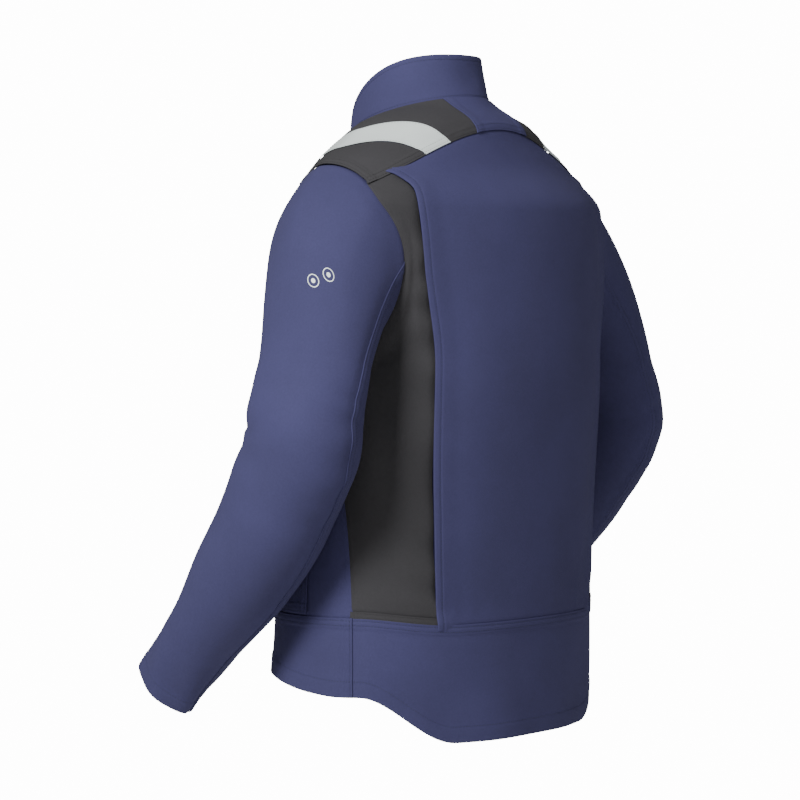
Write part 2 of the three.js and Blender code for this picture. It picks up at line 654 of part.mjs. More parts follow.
// ---- hang loop: a strap bent up into an arch inside the back of the collar ----
const loopY = neckPoint(0).y - 2 * thinCloth - layerGap - loopStand - loopThick;
const loopZ = bodyLength + 4;

function buildHangLoop() {
  const arch = (half, rise, z) => {
    const points = [];
    for (let i = 0; i <= 14; i += 1) {
      const turn = (Math.PI * i) / 14;
      points.push(new THREE.Vector2(half * Math.cos(turn), z + rise * Math.sin(turn)));
    }
    return points;
  };
  const outline = new THREE.Shape([
    ...arch(loopHalf, loopRise, loopZ),
    ...arch(loopHalf - loopStrap, loopRise - loopStrap + 2, loopZ).reverse(),
  ]);
  const geometry = new THREE.ExtrudeGeometry(outline, { depth: loopThick, bevelEnabled: false });
  geometry.rotateX(Math.PI / 2);
  geometry.translate(0, loopY, 0);
  add("hang_loop", geometry, navyTape);
}

buildBack();
buildSideBack();
buildFront();
buildShoulders();
buildCollar();
buildSleeves();
buildPockets();
buildZip();
buildStormFlap();
buildHangLoop();

// The origin is under the middle of the loop, where the hook bears.
const hookZ = loopZ + loopRise - loopStrap + 2;
jacket.position.set(0, -(loopY - loopThick / 2), -hookZ);

export default jacket;
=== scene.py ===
# Flame-retardant welder's jacket. Drawn in millimetres with z = 0 at the bottom of the back hem, the front
# facing -Y and the wearer's left at +X, then put into the frame's own metres by place().
import json
import math
import bmesh
import bpy
import numpy as np
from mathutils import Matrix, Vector, noise

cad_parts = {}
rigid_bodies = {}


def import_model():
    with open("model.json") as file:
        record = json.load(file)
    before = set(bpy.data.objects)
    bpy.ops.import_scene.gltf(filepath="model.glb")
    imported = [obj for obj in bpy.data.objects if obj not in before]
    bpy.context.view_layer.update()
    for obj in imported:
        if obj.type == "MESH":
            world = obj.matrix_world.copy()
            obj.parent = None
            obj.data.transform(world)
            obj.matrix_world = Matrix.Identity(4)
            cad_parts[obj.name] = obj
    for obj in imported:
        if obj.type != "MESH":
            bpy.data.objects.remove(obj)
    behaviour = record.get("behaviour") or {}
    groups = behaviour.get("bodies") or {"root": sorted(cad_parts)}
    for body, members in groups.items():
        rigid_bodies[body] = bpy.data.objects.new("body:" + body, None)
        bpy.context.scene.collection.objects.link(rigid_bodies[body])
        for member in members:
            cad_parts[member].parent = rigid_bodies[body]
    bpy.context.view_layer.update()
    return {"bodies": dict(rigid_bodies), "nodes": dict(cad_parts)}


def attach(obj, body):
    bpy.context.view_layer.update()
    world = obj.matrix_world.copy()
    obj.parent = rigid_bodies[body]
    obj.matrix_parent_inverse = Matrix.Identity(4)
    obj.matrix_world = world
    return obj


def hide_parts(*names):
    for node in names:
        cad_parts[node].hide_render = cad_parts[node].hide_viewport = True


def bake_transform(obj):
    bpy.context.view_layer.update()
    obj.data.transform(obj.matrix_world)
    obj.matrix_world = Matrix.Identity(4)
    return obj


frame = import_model()
print("stage: frame loaded")

# ---- sizes, as in the CAD ----
bodyLength = 769.0
tipHeight = 683.0
armpitHeight = 447.0
armholeBack, armholeFront = 110.0, 76.0
hemHeightBack, waistRise = 139.0, 10.0
hemRise, frontHemRise = 57.0, 76.0
frontHemDepth, frontLean = 166.0, 0.069
neckHalfWidth, neckCentreY = 80.0, -27.0
neckFrontHeight = 697.0
zipOpening = 8.0
bladeDepth, chestHalf = 174.0, 243.0
roundness, shoulderRoundness = 2.2, 1.5
yokeHeight, neckYokeHalf = 728.0, 47.0
stripeInner, stripeWidth, stripeSlope = 145.0, 38.0, 0.5
hookPoint = np.array([0.0, 51.6, 789.0])
degree = math.pi / 180
bodies = frame["bodies"]


def clamp01(t):
    return np.clip(t, 0.0, 1.0)


def smooth(t):
    t = clamp01(t)
    return t * t * (3 - 2 * t)


def mix(a, b, t):
    return a + (b - a) * t


def place(points):
    return (np.asarray(points, float) - hookPoint) / 1000


# Smooth curve through knots that never bulges past them.
def monotone(knots, values):
    x, y = np.array(knots, float), np.array(values, float)
    steps = np.diff(x)
    slopes = np.diff(y) / steps
    left, right = slopes[:-1], slopes[1:]
    total = np.where(left + right == 0, 1, left + right)
    inner = np.where(left * right <= 0, 0, 2 * left * right / total)
    tangents = np.concatenate([[slopes[0]], inner, [slopes[-1]]])

    def curve(at):
        at = np.asarray(at, float)
        i = np.clip(np.searchsorted(x, at) - 1, 0, len(steps) - 1)
        t = (at - x[i]) / steps[i]
        bend = steps[i] * t * (1 - t) * ((1 - t) * tangents[i] - t * tangents[i + 1])
        inside = mix(y[i], y[i + 1], smooth(t)) + bend
        below = y[0] + slopes[0] * (at - x[0])
        above = y[-1] + slopes[-1] * (at - x[-1])
        return np.where(t < 0, below, np.where(t > 1, above, inside))

    return curve


# ---- the body's surface ----
def straightFront(z):
    return frontHemDepth - frontLean * z


neckHalfDepth = straightFront(neckFrontHeight) + neckCentreY
tip = tipHeight
sections = [
    {"z": 0, "half": 229, "back": 150},
    {"z": hemHeightBack, "half": 232, "back": 153},
    {"z": (hemHeightBack + armpitHeight) / 2, "half": 226, "back": bladeDepth - 11},
    {"z": armpitHeight, "half": 223, "back": bladeDepth},
    {"z": armpitHeight + 115, "half": chestHalf, "back": bladeDepth - 4},
    {"z": tip - 52, "half": chestHalf, "back": bladeDepth - 12},
    {"z": tip + 2, "half": chestHalf - 36, "back": bladeDepth - 53},
    {"z": tip + 29, "half": chestHalf - 77, "back": bladeDepth - 66, "scoop": 3},
    {"z": tip + 52, "half": chestHalf - 113, "back": bladeDepth - 75, "scoop": 21},
    {"z": tip + 75, "half": neckHalfWidth, "back": bladeDepth - 103, "scoop": 58},
    {"z": tip + 98, "half": neckHalfWidth - 26, "back": bladeDepth - 124, "scoop": 84},
]
heights = [s["z"] for s in sections]
halfAt = monotone(heights, [s["half"] for s in sections])
backAt = monotone(heights, [s["back"] for s in sections])
frontAt = monotone(heights, [straightFront(s["z"]) - s.get("scoop", 0) for s in sections])


def roundnessAt(z, front):
    return np.where(front, mix(roundness, shoulderRoundness, smooth((z - tip + 100) / 110)), roundness)


def depthAt(z, front):
    return np.where(front, frontAt(z), backAt(z))


def signedPower(value, power):
    return np.sign(value) * np.abs(value) ** power


# Point at an angle from the centre back, positive to the wearer's left, and a height.
def bodyPoint(angle, z):
    angle, z = np.broadcast_arrays(np.asarray(angle, float), np.asarray(z, float))
    front = np.cos(angle) < 0
    power = 2 / roundnessAt(z, front)
    x = halfAt(z) * signedPower(np.sin(angle), power)
    y = depthAt(z, front) * signedPower(np.cos(angle), power)
    return np.stack([x, y, z], -1)


def angleAtDepth(y, z, front):
    return np.arccos(clamp01(y / depthAt(z, front)) ** (roundnessAt(z, front) / 2))


def angleAtWidth(x, z, front):
    return np.arcsin(clamp01(x / halfAt(z)) ** (roundnessAt(z, front) / 2))


def bisect(low, high, tooLow):
    low, high = np.asarray(low, float), np.asarray(high, float)
    for _ in range(32):
        middle = (low + high) / 2
        up = tooLow(middle)
        low, high = np.where(up, middle, low), np.where(up, high, middle)
    return (low + high) / 2


def neckHeight(turn):
    return neckFrontHeight + (bodyLength - neckFrontHeight) * np.cos(turn / 2)


def neckPoint(turn):
    turn = np.asarray(turn, float)
    x = neckHalfWidth * np.sin(turn)
    y = neckCentreY + neckHalfDepth * np.cos(turn)
    return np.stack([x, y, neckHeight(turn)], -1)


def sectionHeight(x, y):
    x, y = np.broadcast_arrays(np.abs(np.asarray(x, float)), np.asarray(y, float))

    def inside(z):
        power = roundnessAt(z, y < 0)
        return (x / halfAt(z)) ** power + (np.abs(y) / depthAt(z, y < 0)) ** power < 1

    return bisect(np.full(x.shape, tip - 160), np.full(x.shape, tip + 98), inside)


# The shoulders over a point in plan, lifted near the neck so that they meet its seam.
def shoulderPoint(x, y):
    x, y = np.broadcast_arrays(np.asarray(x, float), np.asarray(y, float))
    turn = np.arctan2(x / neckHalfWidth, (y - neckCentreY) / neckHalfDepth)
    ring = np.hypot(x / neckHalfWidth, (y - neckCentreY) / neckHalfDepth)
    seam = neckPoint(turn)
    share = clamp01(1 - (ring - 1) / 0.35) ** 2
    lift = seam[..., 2] - sectionHeight(seam[..., 0], seam[..., 1])
    return np.stack([x, y, sectionHeight(x, y) + share * lift], -1)


# ---- seam lines ----
def waistHeight(angle):
    return hemHeightBack + waistRise * smooth((np.abs(angle) / degree - 30) / 40)


def hemHeight(angle):
    turned = np.abs(angle) / degree
    return hemRise * smooth((turned - 30) / 39) + (frontHemRise - hemRise) * smooth((turned - 75) / 55)


def sideSeamAngle(z):
    above = clamp01((z - hemHeightBack) / (armpitHeight - hemHeightBack))
    return degree * (72.3 + 17.7 * above**1.6)


def backYokeSeam(x):
    return yokeHeight - (np.hypot(0.55 * x, 60) - 60)


frontNeckEnd = 0.82 * neckHalfWidth
frontNeckTurn = math.pi - math.asin(0.82)


def frontYokeSeam(x):
    return neckHeight(frontNeckTurn) - 0.52 * (x - frontNeckEnd)


def backSeam(x):
    x = np.abs(x)
    return bodyPoint(angleAtWidth(x, backYokeSeam(x), False), backYokeSeam(x))[..., 1]


def frontFace(x):
    return bodyPoint(math.pi - angleAtWidth(x, frontYokeSeam(x), True), frontYokeSeam(x))[..., 1]


def frontSeam(x):
    share = clamp01(1 - (x - frontNeckEnd) / 70) ** 2
    return frontFace(x) + share * (neckPoint(frontNeckTurn)[1] - frontFace(frontNeckEnd))


def crossing(line, angle):
    angle = np.asarray(angle, float)
    low, high = np.full(angle.shape, tip - 120), np.full(angle.shape, tip + 75)
    return bisect(low, high, lambda z: z < line(np.abs(bodyPoint(angle, z)[..., 0])))


armholeMiddle = (tipHeight + armpitHeight) / 2
armholeHalf = (tipHeight - armpitHeight) / 2


def armholeAngle(z, front):
    reach = np.sqrt(1 - clamp01(np.abs(z - armholeMiddle) / armholeHalf) ** 2)
    ahead = math.pi - angleAtDepth(armholeFront * reach, z, True)
    return np.where(front, ahead, angleAtDepth(armholeBack * reach, z, False))


def armholePoint(turn):
    z = armholeMiddle + armholeHalf * np.sin(turn)
    return bodyPoint(armholeAngle(z, np.cos(turn) < 0), z)


def armholeYokeHeight(line, front):
    inside = lambda z: z < line(bodyPoint(armholeAngle(z, front), z)[..., 0])
    return float(bisect(armholeMiddle, tipHeight - 1, inside))


backYokeEnd = armholeYokeHeight(backYokeSeam, False)
frontYokeEnd = armholeYokeHeight(frontYokeSeam, True)


# The action pleat's fold, as a share of the way from the waist seam to the yoke seam.
def pleatAngle(v):
    rise = 6.2 * np.sin((math.pi / 2) * np.minimum(v / 0.55, 1))
    return degree * (38 + rise + 1.8 * clamp01((v - 0.75) / 0.25) + 9 * clamp01((v - 0.95) / 0.05) ** 3)


# ---- materials ----
def linear(hexColour):
    channels = [int(hexColour[i : i + 2], 16) / 255 for i in (1, 3, 5)]
    return (*[c / 12.92 if c <= 0.04045 else ((c + 0.055) / 1.055) ** 2.4 for c in channels], 1)


def addNode(tree, kind, settings=None, **inputs):
    node = tree.nodes.new(kind)
    for key, value in (settings or {}).items():
        setattr(node, key, value)
    for key, value in inputs.items():
        socket = node.inputs[int(key[1:]) if key[1:].isdigit() else key.replace("_", " ")]
        if isinstance(value, bpy.types.NodeSocket):
            tree.links.new(value, socket)
        else:
            socket.default_value = value
    return node


def newMaterial(name):
    material = bpy.data.materials.new(name)
    material.use_nodes = True
    tree = material.node_tree
    tree.nodes.clear()
    surface = addNode(tree, "ShaderNodeBsdfPrincipled")
    addNode(tree, "ShaderNodeOutputMaterial", Surface=surface.outputs[0])
    return material, tree, surface


# Twill cloth: UV is millimetres of cloth. Diagonal wales crossed by the yarns, with soft shade changes.
def twill(name, colour, pitch=0.9, shade=0.12, rough=0.86, sheen=0.12, relief=0.00012):
    material, tree, surface = newMaterial(name)
    uv = addNode(tree, "ShaderNodeUVMap", {"uv_map": "cloth"}).outputs[0]
    turn = 2 * math.pi / pitch
    across = {"operation": "DOT_PRODUCT"}
    wale = addNode(
        tree, "ShaderNodeVectorMath", across, i0=uv, i1=(0.87 * turn, 0.5 * turn, 0)
    ).outputs["Value"]
    yarn = addNode(
        tree, "ShaderNodeVectorMath", across, i0=uv, i1=(-0.6 * turn, 1.04 * turn, 0)
    ).outputs["Value"]
    waleWave = addNode(tree, "ShaderNodeMath", {"operation": "SINE"}, i0=wale).outputs[0]
    yarnWave = addNode(tree, "ShaderNodeMath", {"operation": "SINE"}, i0=yarn).outputs[0]
    weave = addNode(
        tree, "ShaderNodeMath", {"operation": "MULTIPLY_ADD"}, i0=yarnWave, i1=0.45, i2=waleWave
    ).outputs[0]
    where = addNode(tree, "ShaderNodeTexCoord").outputs["Object"]
    broad = addNode(tree, "ShaderNodeTexNoise", Vector=where, Scale=9.0, Detail=3.0).outputs[0]
    fine = addNode(tree, "ShaderNodeTexNoise", Vector=where, Scale=420.0, Detail=2.0).outputs[0]
    both = addNode(
        tree, "ShaderNodeMath", {"operation": "MULTIPLY_ADD"}, i0=fine, i1=0.5, i2=broad
    ).outputs[0]
    level = addNode(
        tree, "ShaderNodeMapRange", Value=both, From_Min=0.45, From_Max=1.05, To_Min=1 - shade,
        To_Max=1 + shade
    )
    threads = addNode(
        tree, "ShaderNodeMath", {"operation": "MULTIPLY_ADD"}, i0=weave, i1=0.05, i2=level.outputs[0]
    ).outputs[0]
    base = linear(colour)
    tone = addNode(
        tree, "ShaderNodeVectorMath", {"operation": "SCALE"}, i0=base[:3], Scale=threads
    ).outputs[0]
    bump = addNode(tree, "ShaderNodeBump", Strength=0.55, Distance=relief, Height=weave).outputs[0]
    fuzz = addNode(
        tree, "ShaderNodeBump", Strength=0.25, Distance=0.0003, Height=fine, Normal=bump
    ).outputs[0]
    tree.links.new(tone, surface.inputs["Base Color"])
    tree.links.new(fuzz, surface.inputs["Normal"])
    surface.inputs["Roughness"].default_value = rough
    surface.inputs["Sheen Weight"].default_value = sheen
    surface.inputs["Sheen Roughness"].default_value = 0.45
    surface.inputs["Sheen Tint"].default_value = linear(colour)
    return material


# Glass-bead tape: a pale satin face with a fine bead grain.
def beadTape(name, colour):
    material, tree, surface = newMaterial(name)
    where = addNode(tree, "ShaderNodeTexCoord").outputs["Object"]
    beads = addNode(tree, "ShaderNodeTexVoronoi", Vector=where, Scale=2200.0).outputs["Distance"]
    soil = addNode(tree, "ShaderNodeTexNoise", Vector=where, Scale=30.0, Detail=4.0).outputs[0]
    level = addNode(
        tree, "ShaderNodeMapRange", Value=soil, From_Min=0.3, From_Max=0.7, To_Min=0.95, To_Max=1.03
    ).outputs[0]
    tone = addNode(
        tree, "ShaderNodeVectorMath", {"operation": "SCALE"}, i0=linear(colour)[:3], Scale=level
    ).outputs[0]
    bump = addNode(tree, "ShaderNodeBump", Strength=0.3, Distance=0.0001, Height=beads).outputs[0]
    tree.links.new(tone, surface.inputs["Base Color"])
    tree.links.new(bump, surface.inputs["Normal"])
    surface.inputs["Roughness"].default_value = 0.42
    surface.inputs["Metallic"].default_value = 0.1
    return material


# Sewing thread: two plies twisted, matt cotton.
def thread(name, colour):
    material, tree, surface = newMaterial(name)
    where = addNode(tree, "ShaderNodeTexCoord").outputs["Object"]
    plies = addNode(tree, "ShaderNodeTexNoise", Vector=where, Scale=1500.0, Detail=1.0).outputs[0]
    level = addNode(tree, "ShaderNodeMapRange", Value=plies, To_Min=0.8, To_Max=1.2).outputs[0]
    tone = addNode(
        tree, "ShaderNodeVectorMath", {"operation": "SCALE"}, i0=linear(colour)[:3], Scale=level
    ).outputs[0]
    tree.links.new(tone, surface.inputs["Base Color"])
    surface.inputs["Roughness"].default_value = 0.6
    return material


# Blackened brass: satin, with paler rubbed patches.
def darkMetal(name, colour, rough=0.38):
    material, tree, surface = newMaterial(name)
    where = addNode(tree, "ShaderNodeTexCoord").outputs["Object"]
    rub = addNode(tree, "ShaderNodeTexNoise", Vector=where, Scale=260.0, Detail=5.0).outputs[0]
    level = addNode(
        tree, "ShaderNodeMapRange", Value=rub, From_Min=0.35, From_Max=0.75, To_Min=0.75, To_Max=1.5
    ).outputs[0]
    tone = addNode(
        tree, "ShaderNodeVectorMath", {"operation": "SCALE"}, i0=linear(colour)[:3], Scale=level
    ).outputs[0]
    worn = addNode(tree, "ShaderNodeMapRange", Value=rub, To_Min=rough - 0.08, To_Max=rough + 0.14).outputs[0]
    tree.links.new(tone, surface.inputs["Base Color"])
    tree.links.new(worn, surface.inputs["Roughness"])
    surface.inputs["Metallic"].default_value = 0.9
    return material


navy = twill("navy_twill", "#403f69")
charcoal = twill("charcoal_twill", "#3b3a3d", shade=0.1)
tape = twill("woven_tape", "#2a2d42", pitch=1.4, relief=0.0002)
silver = beadTape("reflective_tape", "#f2fbf9")
navyThread = thread("navy_thread", "#2f3350")
charcoalThread = thread("charcoal_thread", "#302f31")
paleThread = thread("pale_thread", "#b6bcba")
metal = darkMetal("blackened_brass", "#4a4b50")
print("stage: materials")


# ---- cloth ----
# Grid lines along a border of a given length in mm, closer together beside its ends where the seams are.
def gridLines(length, coarse, margin=15.0, fine=1.7):
    if length < 2 * margin + coarse:
        return np.linspace(0, 1, max(4, round(length / 2.2)) + 1)
    ends = np.linspace(0, margin, round(margin / fine) + 1)
    inner = np.linspace(margin, length - margin, max(2, round((length - 2 * margin) / coarse)) + 1)
    return np.concatenate([ends[:-1], inner, length - ends[:-1][::-1]]) / length


def lengths(points, axis):
    steps = np.linalg.norm(np.diff(points, axis=axis), axis=-1)
    start = np.zeros_like(np.take(steps, [0], axis=axis))
    return np.cumsum(np.concatenate([start, steps], axis=axis), axis=axis)


def normalsOf(points):
    across, up = np.gradient(points, axis=1), np.gradient(points, axis=0)
    normal = np.cross(across, up)
    return normal / np.maximum(np.linalg.norm(normal, axis=-1, keepdims=True), 1e-9)


# Soft unevenness of hanging cloth. size is the spacing of its waves along x, y and z in mm.
def waves(points, size, seed=0.0):
    flat = (points / np.array(size)).reshape(-1, 3) + seed
    return np.array([noise.noise(Vector(p)) for p in flat]).reshape(points.shape[:-1])


# How far each kind of seam lifts the cloth, in mm, at a distance from its edge.
def lapped(d, width=9.0):
    sewn = sum(0.55 * np.exp(-(((d - at) / 0.9) ** 2)) for at in (2.0, width - 1))
    return 1.1 * (1 - smooth((d - width) / 4)) - sewn


def hemmed(d, width=20.0):
    return 0.9 * (1 - smooth((d - width) / 3)) - 0.7 * np.exp(-(((d - width + 1.5) / 1.1) ** 2))


def sunk(d):
    return -0.5 * (1 - smooth(d / 4))


def proud(d):
    sewn = 0.7 * np.exp(-(((d - 7) / 1.0) ** 2))
    return 3.6 * (1 - smooth(d / 34)) - sewn


seams = {
    "tucked": sunk, "lapped": lapped, "hemmed": hemmed, "sunk": sunk, "proud": proud, "plain": lambda d: 0 * d
}
turnedSteps = [(0.5, -0.2), (0.7, -0.7), (0.5, -1.2), (-3.0, -1.6)]
edgeSteps = {
    "lapped": turnedSteps,
    "proud": [(0.9, -0.3), (1.5, -1.2), (0.9, -2.2), (-4.0, -2.8), (-16.0, -3.4)],
    "hemmed": [(0.6, -0.2), (0.9, -0.9), (0.6, -1.6), (-6.0, -1.9), (-18.0, -2.0), (-19.0, -1.4)],
    "sunk": [(2.0, -0.5), (6.0, -1.0)],
    "tucked": [(3.0, -1.2), (9.0, -2.4)],
    "plain": [],
}
sides = {"left": (1, False), "right": (1, True), "low": (0, False), "high": (0, True)}


# Carries the cloth on past one side, in steps of mm outwards and up, so that its edge turns under or tucks
# in.
def extend(cloth, side, steps):
    axis, atEnd = sides[side]
    if not steps:
        return cloth
    turned = {key: np.swapaxes(value, 0, 1) if axis else value for key, value in cloth.items()}
    rows = {key: value[::-1] if atEnd else value for key, value in turned.items()}
    edge, inner = rows["place"][0], rows["place"][1]
    out = (edge - inner) / np.maximum(np.linalg.norm(edge - inner, axis=-1, keepdims=True), 1e-9)
    normal = rows["normal"][0]
    grow = rows["data"][0] - rows["data"][1]
    grow[..., 2:] = 0
    span = np.maximum(np.linalg.norm(grow, axis=-1, keepdims=True), 1e-9)
    places = [edge + out * o + normal * h for o, h in steps]
    travelled = np.cumsum([math.hypot(b[0] - a[0], b[1] - a[1]) for a, b in zip([(0, 0), *steps], steps)])
    datas = [rows["data"][0] + grow / span * t for t in travelled]
    added = {"place": places, "normal": [normal] * len(steps), "data": datas}
    made = {key: np.concatenate([np.stack(added[key][::-1]), rows[key]]) for key in rows}
    made = {key: value[::-1] if atEnd else value for key, value in made.items()}
    return {key: np.swapaxes(value, 0, 1) if axis else value for key, value in made.items()}


# One stitch, lying along x: a small round-ended bar.
def stitchShape():
    shape = bmesh.new()
    bmesh.ops.create_uvsphere(shape, u_segments=6, v_segments=4, radius=0.5)
    points = np.array([v.co[:] for v in shape.verts])
    faces = [[v.index for v in f.verts] for f in shape.faces]
    shape.free()
    return points, faces


stitchPoints, stitchFaces = stitchShape()


# Stitches along a line of places with normals: points and faces, and one data row for each point.
def stitchRow(line, normals, data, pitch=3.6, length=2.7, width=0.62):
    run = lengths(line[None], 1)[0]
    count = int(run[-1] // pitch)
    if count < 2:
        return None
    at = (np.arange(count) + 0.5) * run[-1] / count
    pick = lambda values: np.stack([np.interp(at, run, values[:, k]) for k in range(values.shape[1])], -1)
    middle, up, carried = pick(line), pick(normals), pick(data)
    ahead = pick(np.gradient(line, axis=0))
    ahead /= np.linalg.norm(ahead, axis=-1, keepdims=True)
    up -= ahead * np.sum(up * ahead, -1, keepdims=True)
    up /= np.linalg.norm(up, axis=-1, keepdims=True)
    side = np.cross(up, ahead)
    x, y, z = (stitchPoints * np.array([length, width, width])).T
    points = (
        middle[:, None]
        + ahead[:, None] * x[None, :, None]
        + side[:, None] * y[None, :, None]
        + up[:, None] * (z[None, :, None] + 0.12)
    )
    faces = [[i + k * len(x) for i in face] for k in range(count) for face in stitchFaces]
    return points.reshape(-1, 3), faces, np.repeat(carried, len(x), axis=0)


# The line at a distance in mm from one side of the cloth, kept clear of both ends of it by `short`.
def lineBeside(cloth, side, distance, short):
    axis, atEnd = sides[side]
    turned = {key: np.swapaxes(value, 0, 1) if axis else value for key, value in cloth.items()}
    rows = {key: value[::-1] if atEnd else value for key, value in turned.items()}
    run = lengths(rows["place"], 0)
    found = {}
    for key, value in rows.items():
        columns = range(value.shape[1])
        found[key] = np.array(
            [[np.interp(distance, run[:, i], value[:, i, k]) for k in range(value.shape[2])] for i in columns]
        )
    along = lengths(found["place"][None], 1)[0]
    keep = (along >= short) & (along <= along[-1] - short)
    return {key: value[keep] for key, value in found.items()}


# Adds points and faces made elsewhere to a mesh under construction, with the data row of each point.
def addPieces(made, data, points, faces, carried, slotNumber):
    mesh = bpy.data.meshes.new("part")
    mesh.from_pydata(place(points).tolist(), [], faces)
    before = len(made.faces)
    made.from_mesh(mesh)
    bpy.data.meshes.remove(mesh)
    made.faces.ensure_lookup_table()
    for face in made.faces[before:]:
        face.material_index = slotNumber
    return np.concatenate([data, carried])


def finishMesh(name, made, data, materials):
    mesh = bpy.data.meshes.new(name)
    made.verts.index_update()
    uv = made.loops.layers.uv.new("cloth")
    for face in made.faces:
        face.smooth = True
        for loop in face.loops:
            loop[uv].uv = data[loop.vert.index][:2]
    made.to_mesh(mesh)
    made.free()
    for material in materials:
        mesh.materials.append(material)
    piece = bpy.data.objects.new(name, mesh)
    bpy.context.scene.collection.objects.link(piece)
    return piece


# A piece of cloth on a surface given in mm over u and v. edges names the seam on each side, rows are the
# stitch lines as (side, distance) and relief adds its own folds from the points, u and v.
def clothPanel(name, surface, settings):
    edges = {"left": "plain", "right": "plain", "low": "plain", "high": "plain", **settings.get("edges", {})}
    coarse = settings.get("coarse", 5.0)
    probe = surface(*np.meshgrid(np.linspace(0, 1, 9), np.linspace(0, 1, 9)))
    wide = float(lengths(probe, 1)[:, -1].max())
    tall = float(lengths(probe, 0)[-1].max())
    u, v = np.meshgrid(gridLines(wide, coarse), gridLines(tall, coarse))
    points = surface(u, v)
    normal = normalsOf(points)
    fromLeft, fromLow = lengths(points, 1), lengths(points, 0)
    distance = {
        "left": fromLeft,
        "right": fromLeft[:, -1:] - fromLeft,
        "low": fromLow,
        "high": fromLow[-1:] - fromLow,
    }
    lift = sum(seams[kind](distance[side]) for side, kind in edges.items())
    size, height = settings["wrinkle"]
    folds = height * waves(points, size, settings.get("seed", 3.1))
    if "relief" in settings:
        folds = folds + settings["relief"](points, u, v, distance)
    # Cloth lies flat where it is sewn to its neighbour, so its folds die out there.
    for side in settings.get("sewn", sides):
        folds = folds * smooth((distance[side] + 2) / 26)
    lift = lift + folds
    points = points + normal * (lift + settings.get("outer", 0.0))[..., None]
    weight = settings["weight"](u, v) if "weight" in settings else 0 * u
    data = np.stack([u * wide, v * tall, weight], -1)
    cloth = {"place": points, "normal": normalsOf(points), "data": data}
    plain = cloth
    for side in ("left", "right", "low", "high"):
        cloth = extend(cloth, side, edgeSteps[edges[side]])
    whole = cloth["place"]
    width, length = (float(lengths(whole, axis).max()) / 1000 for axis in (1, 0))
    cells = np.cross(np.diff(whole, axis=1)[:-1], np.diff(whole, axis=0)[:, :-1])
    area = float(np.linalg.norm(cells, axis=-1).sum()) / 1e6
    tallCount, wideCount = cloth["place"].shape[:2]
    made = bmesh.new()
    bmesh.ops.create_grid(made, x_segments=wideCount - 1, y_segments=tallCount - 1, size=0.5)
    spots = place(cloth["place"])
    rowOf = [round((v.co.y + 0.5) * (tallCount - 1)) for v in made.verts]
    columnOf = [round((v.co.x + 0.5) * (wideCount - 1)) for v in made.verts]
    for vert, row, column in zip(made.verts, rowOf, columnOf):
        vert.co = spots[row, column]
    data = cloth["data"][rowOf, columnOf]
    for side, at in settings.get("rows", []):
        line = lineBeside(plain, side, at, settings.get("short", 1.0))
        row = stitchRow(line["place"], line["normal"], line["data"])
        if row:
            data = addPieces(made, data, *row, 1)
    piece = finishMesh(f"{name}_cloth", made, data, [settings["cloth"], settings["thread"]])
    if "weight" not in settings:
        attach(piece, settings.get("body", "jacket_body"))
    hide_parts(*settings["nodes"])
    piece["flat"] = [width, length, area]
    return piece, data


# Takes the flat width, length and area stored on a piece off it again; nothing is done with them.
def declare(piece):
    wide, tall, area = piece["flat"]
    del piece["flat"]


def coons(left, right, low, high):
    def patch(u, v):
        zero, one = np.zeros_like(u), np.ones_like(u)
        l, r, b, t = left(v), right(v), low(u), high(u)
        corners = [low(zero), low(one), high(zero), high(one)]
        flats = [
            mix(mix(corners[0][k], corners[1][k], u), mix(corners[2][k], corners[3][k], u), v)
            for k in (0, 1)
        ]
        return [mix(l[k], r[k], u) + mix(b[k], t[k], v) - flats[k] for k in (0, 1)]

    return patch


def mirrored(surface):
    return lambda u, v: surface(1 - u, v) * np.array([-1, 1, 1])


# The same piece on the wearer's left, and on the right with its left and right sides swapped.
def clothPair(name, surface, settings):
    swap = {"left": "right", "right": "left", "low": "low", "high": "high"}
    edges = {swap[side]: kind for side, kind in settings.get("edges", {}).items()}
    rows = [(swap[side], at) for side, at in settings.get("rows", [])]
    other = {
        **settings, "edges": edges, "rows": rows,
        "nodes": [n.replace("left_", "right_", 1) for n in settings["nodes"]]
    }
    return [
        clothPanel(f"left_{name}", surface, settings)[0],
        clothPanel(f"right_{name}", mirrored(surface), other)[0]
    ]


# ---- back ----
def onBody(patch):
    return lambda u, v: bodyPoint(*patch(u, v))


def onShoulder(patch):
    return lambda u, v: shoulderPoint(*patch(u, v))


def backSurface(u, v):
    top = crossing(backYokeSeam, mix(pleatAngle(1.0), -pleatAngle(1.0), u))
    waist = waistHeight(mix(pleatAngle(0.0), -pleatAngle(0.0), u))
    return bodyPoint(mix(pleatAngle(v), -pleatAngle(v), u), mix(waist, top, v))


# Soft vertical falls below the shoulder blades, and the cloth drawn in a little over the waist seam.
def backFolds(points, u, v, distance):
    falls = 1.6 * np.sin(u * 9.4 + 1.5 * np.sin(v * 3)) * smooth((0.75 - v) / 0.5) * smooth(v / 0.2)
    gather = 0.5 * np.sin(u * 60 + 4 * np.sin(u * 7)) * np.exp(-distance["low"] / 22)
    tucked = -3.6 * (1 - smooth(np.minimum(distance["left"], distance["right"]) / 34))
    ends = np.maximum(1 - smooth(distance["high"] / 70), 1 - smooth(distance["low"] / 45))
    return falls + gather + tucked * ends


backPanel = {
    "nodes": ["back_panel"],
    "cloth": navy,
    "thread": navyThread,
    "slot": "navy_twill",
    "edges": {"left": "proud", "right": "proud", "low": "sunk", "high": "sunk"},
    "rows": [("left", 7.0), ("right", 7.0)],
    "relief": backFolds,
    "sewn": ("low", "high"),
    "wrinkle": ((170, 170, 230), 2.6),
}
backPiece, _ = clothPanel("back_panel", backSurface, backPanel)

sideEdge = float(sideSeamAngle(0))


def tailSide(sign):
    low, high = hemHeight(sideEdge), waistHeight(sideEdge)
    return lambda v: (sign * sideEdge + 0 * v, mix(low, high, v))


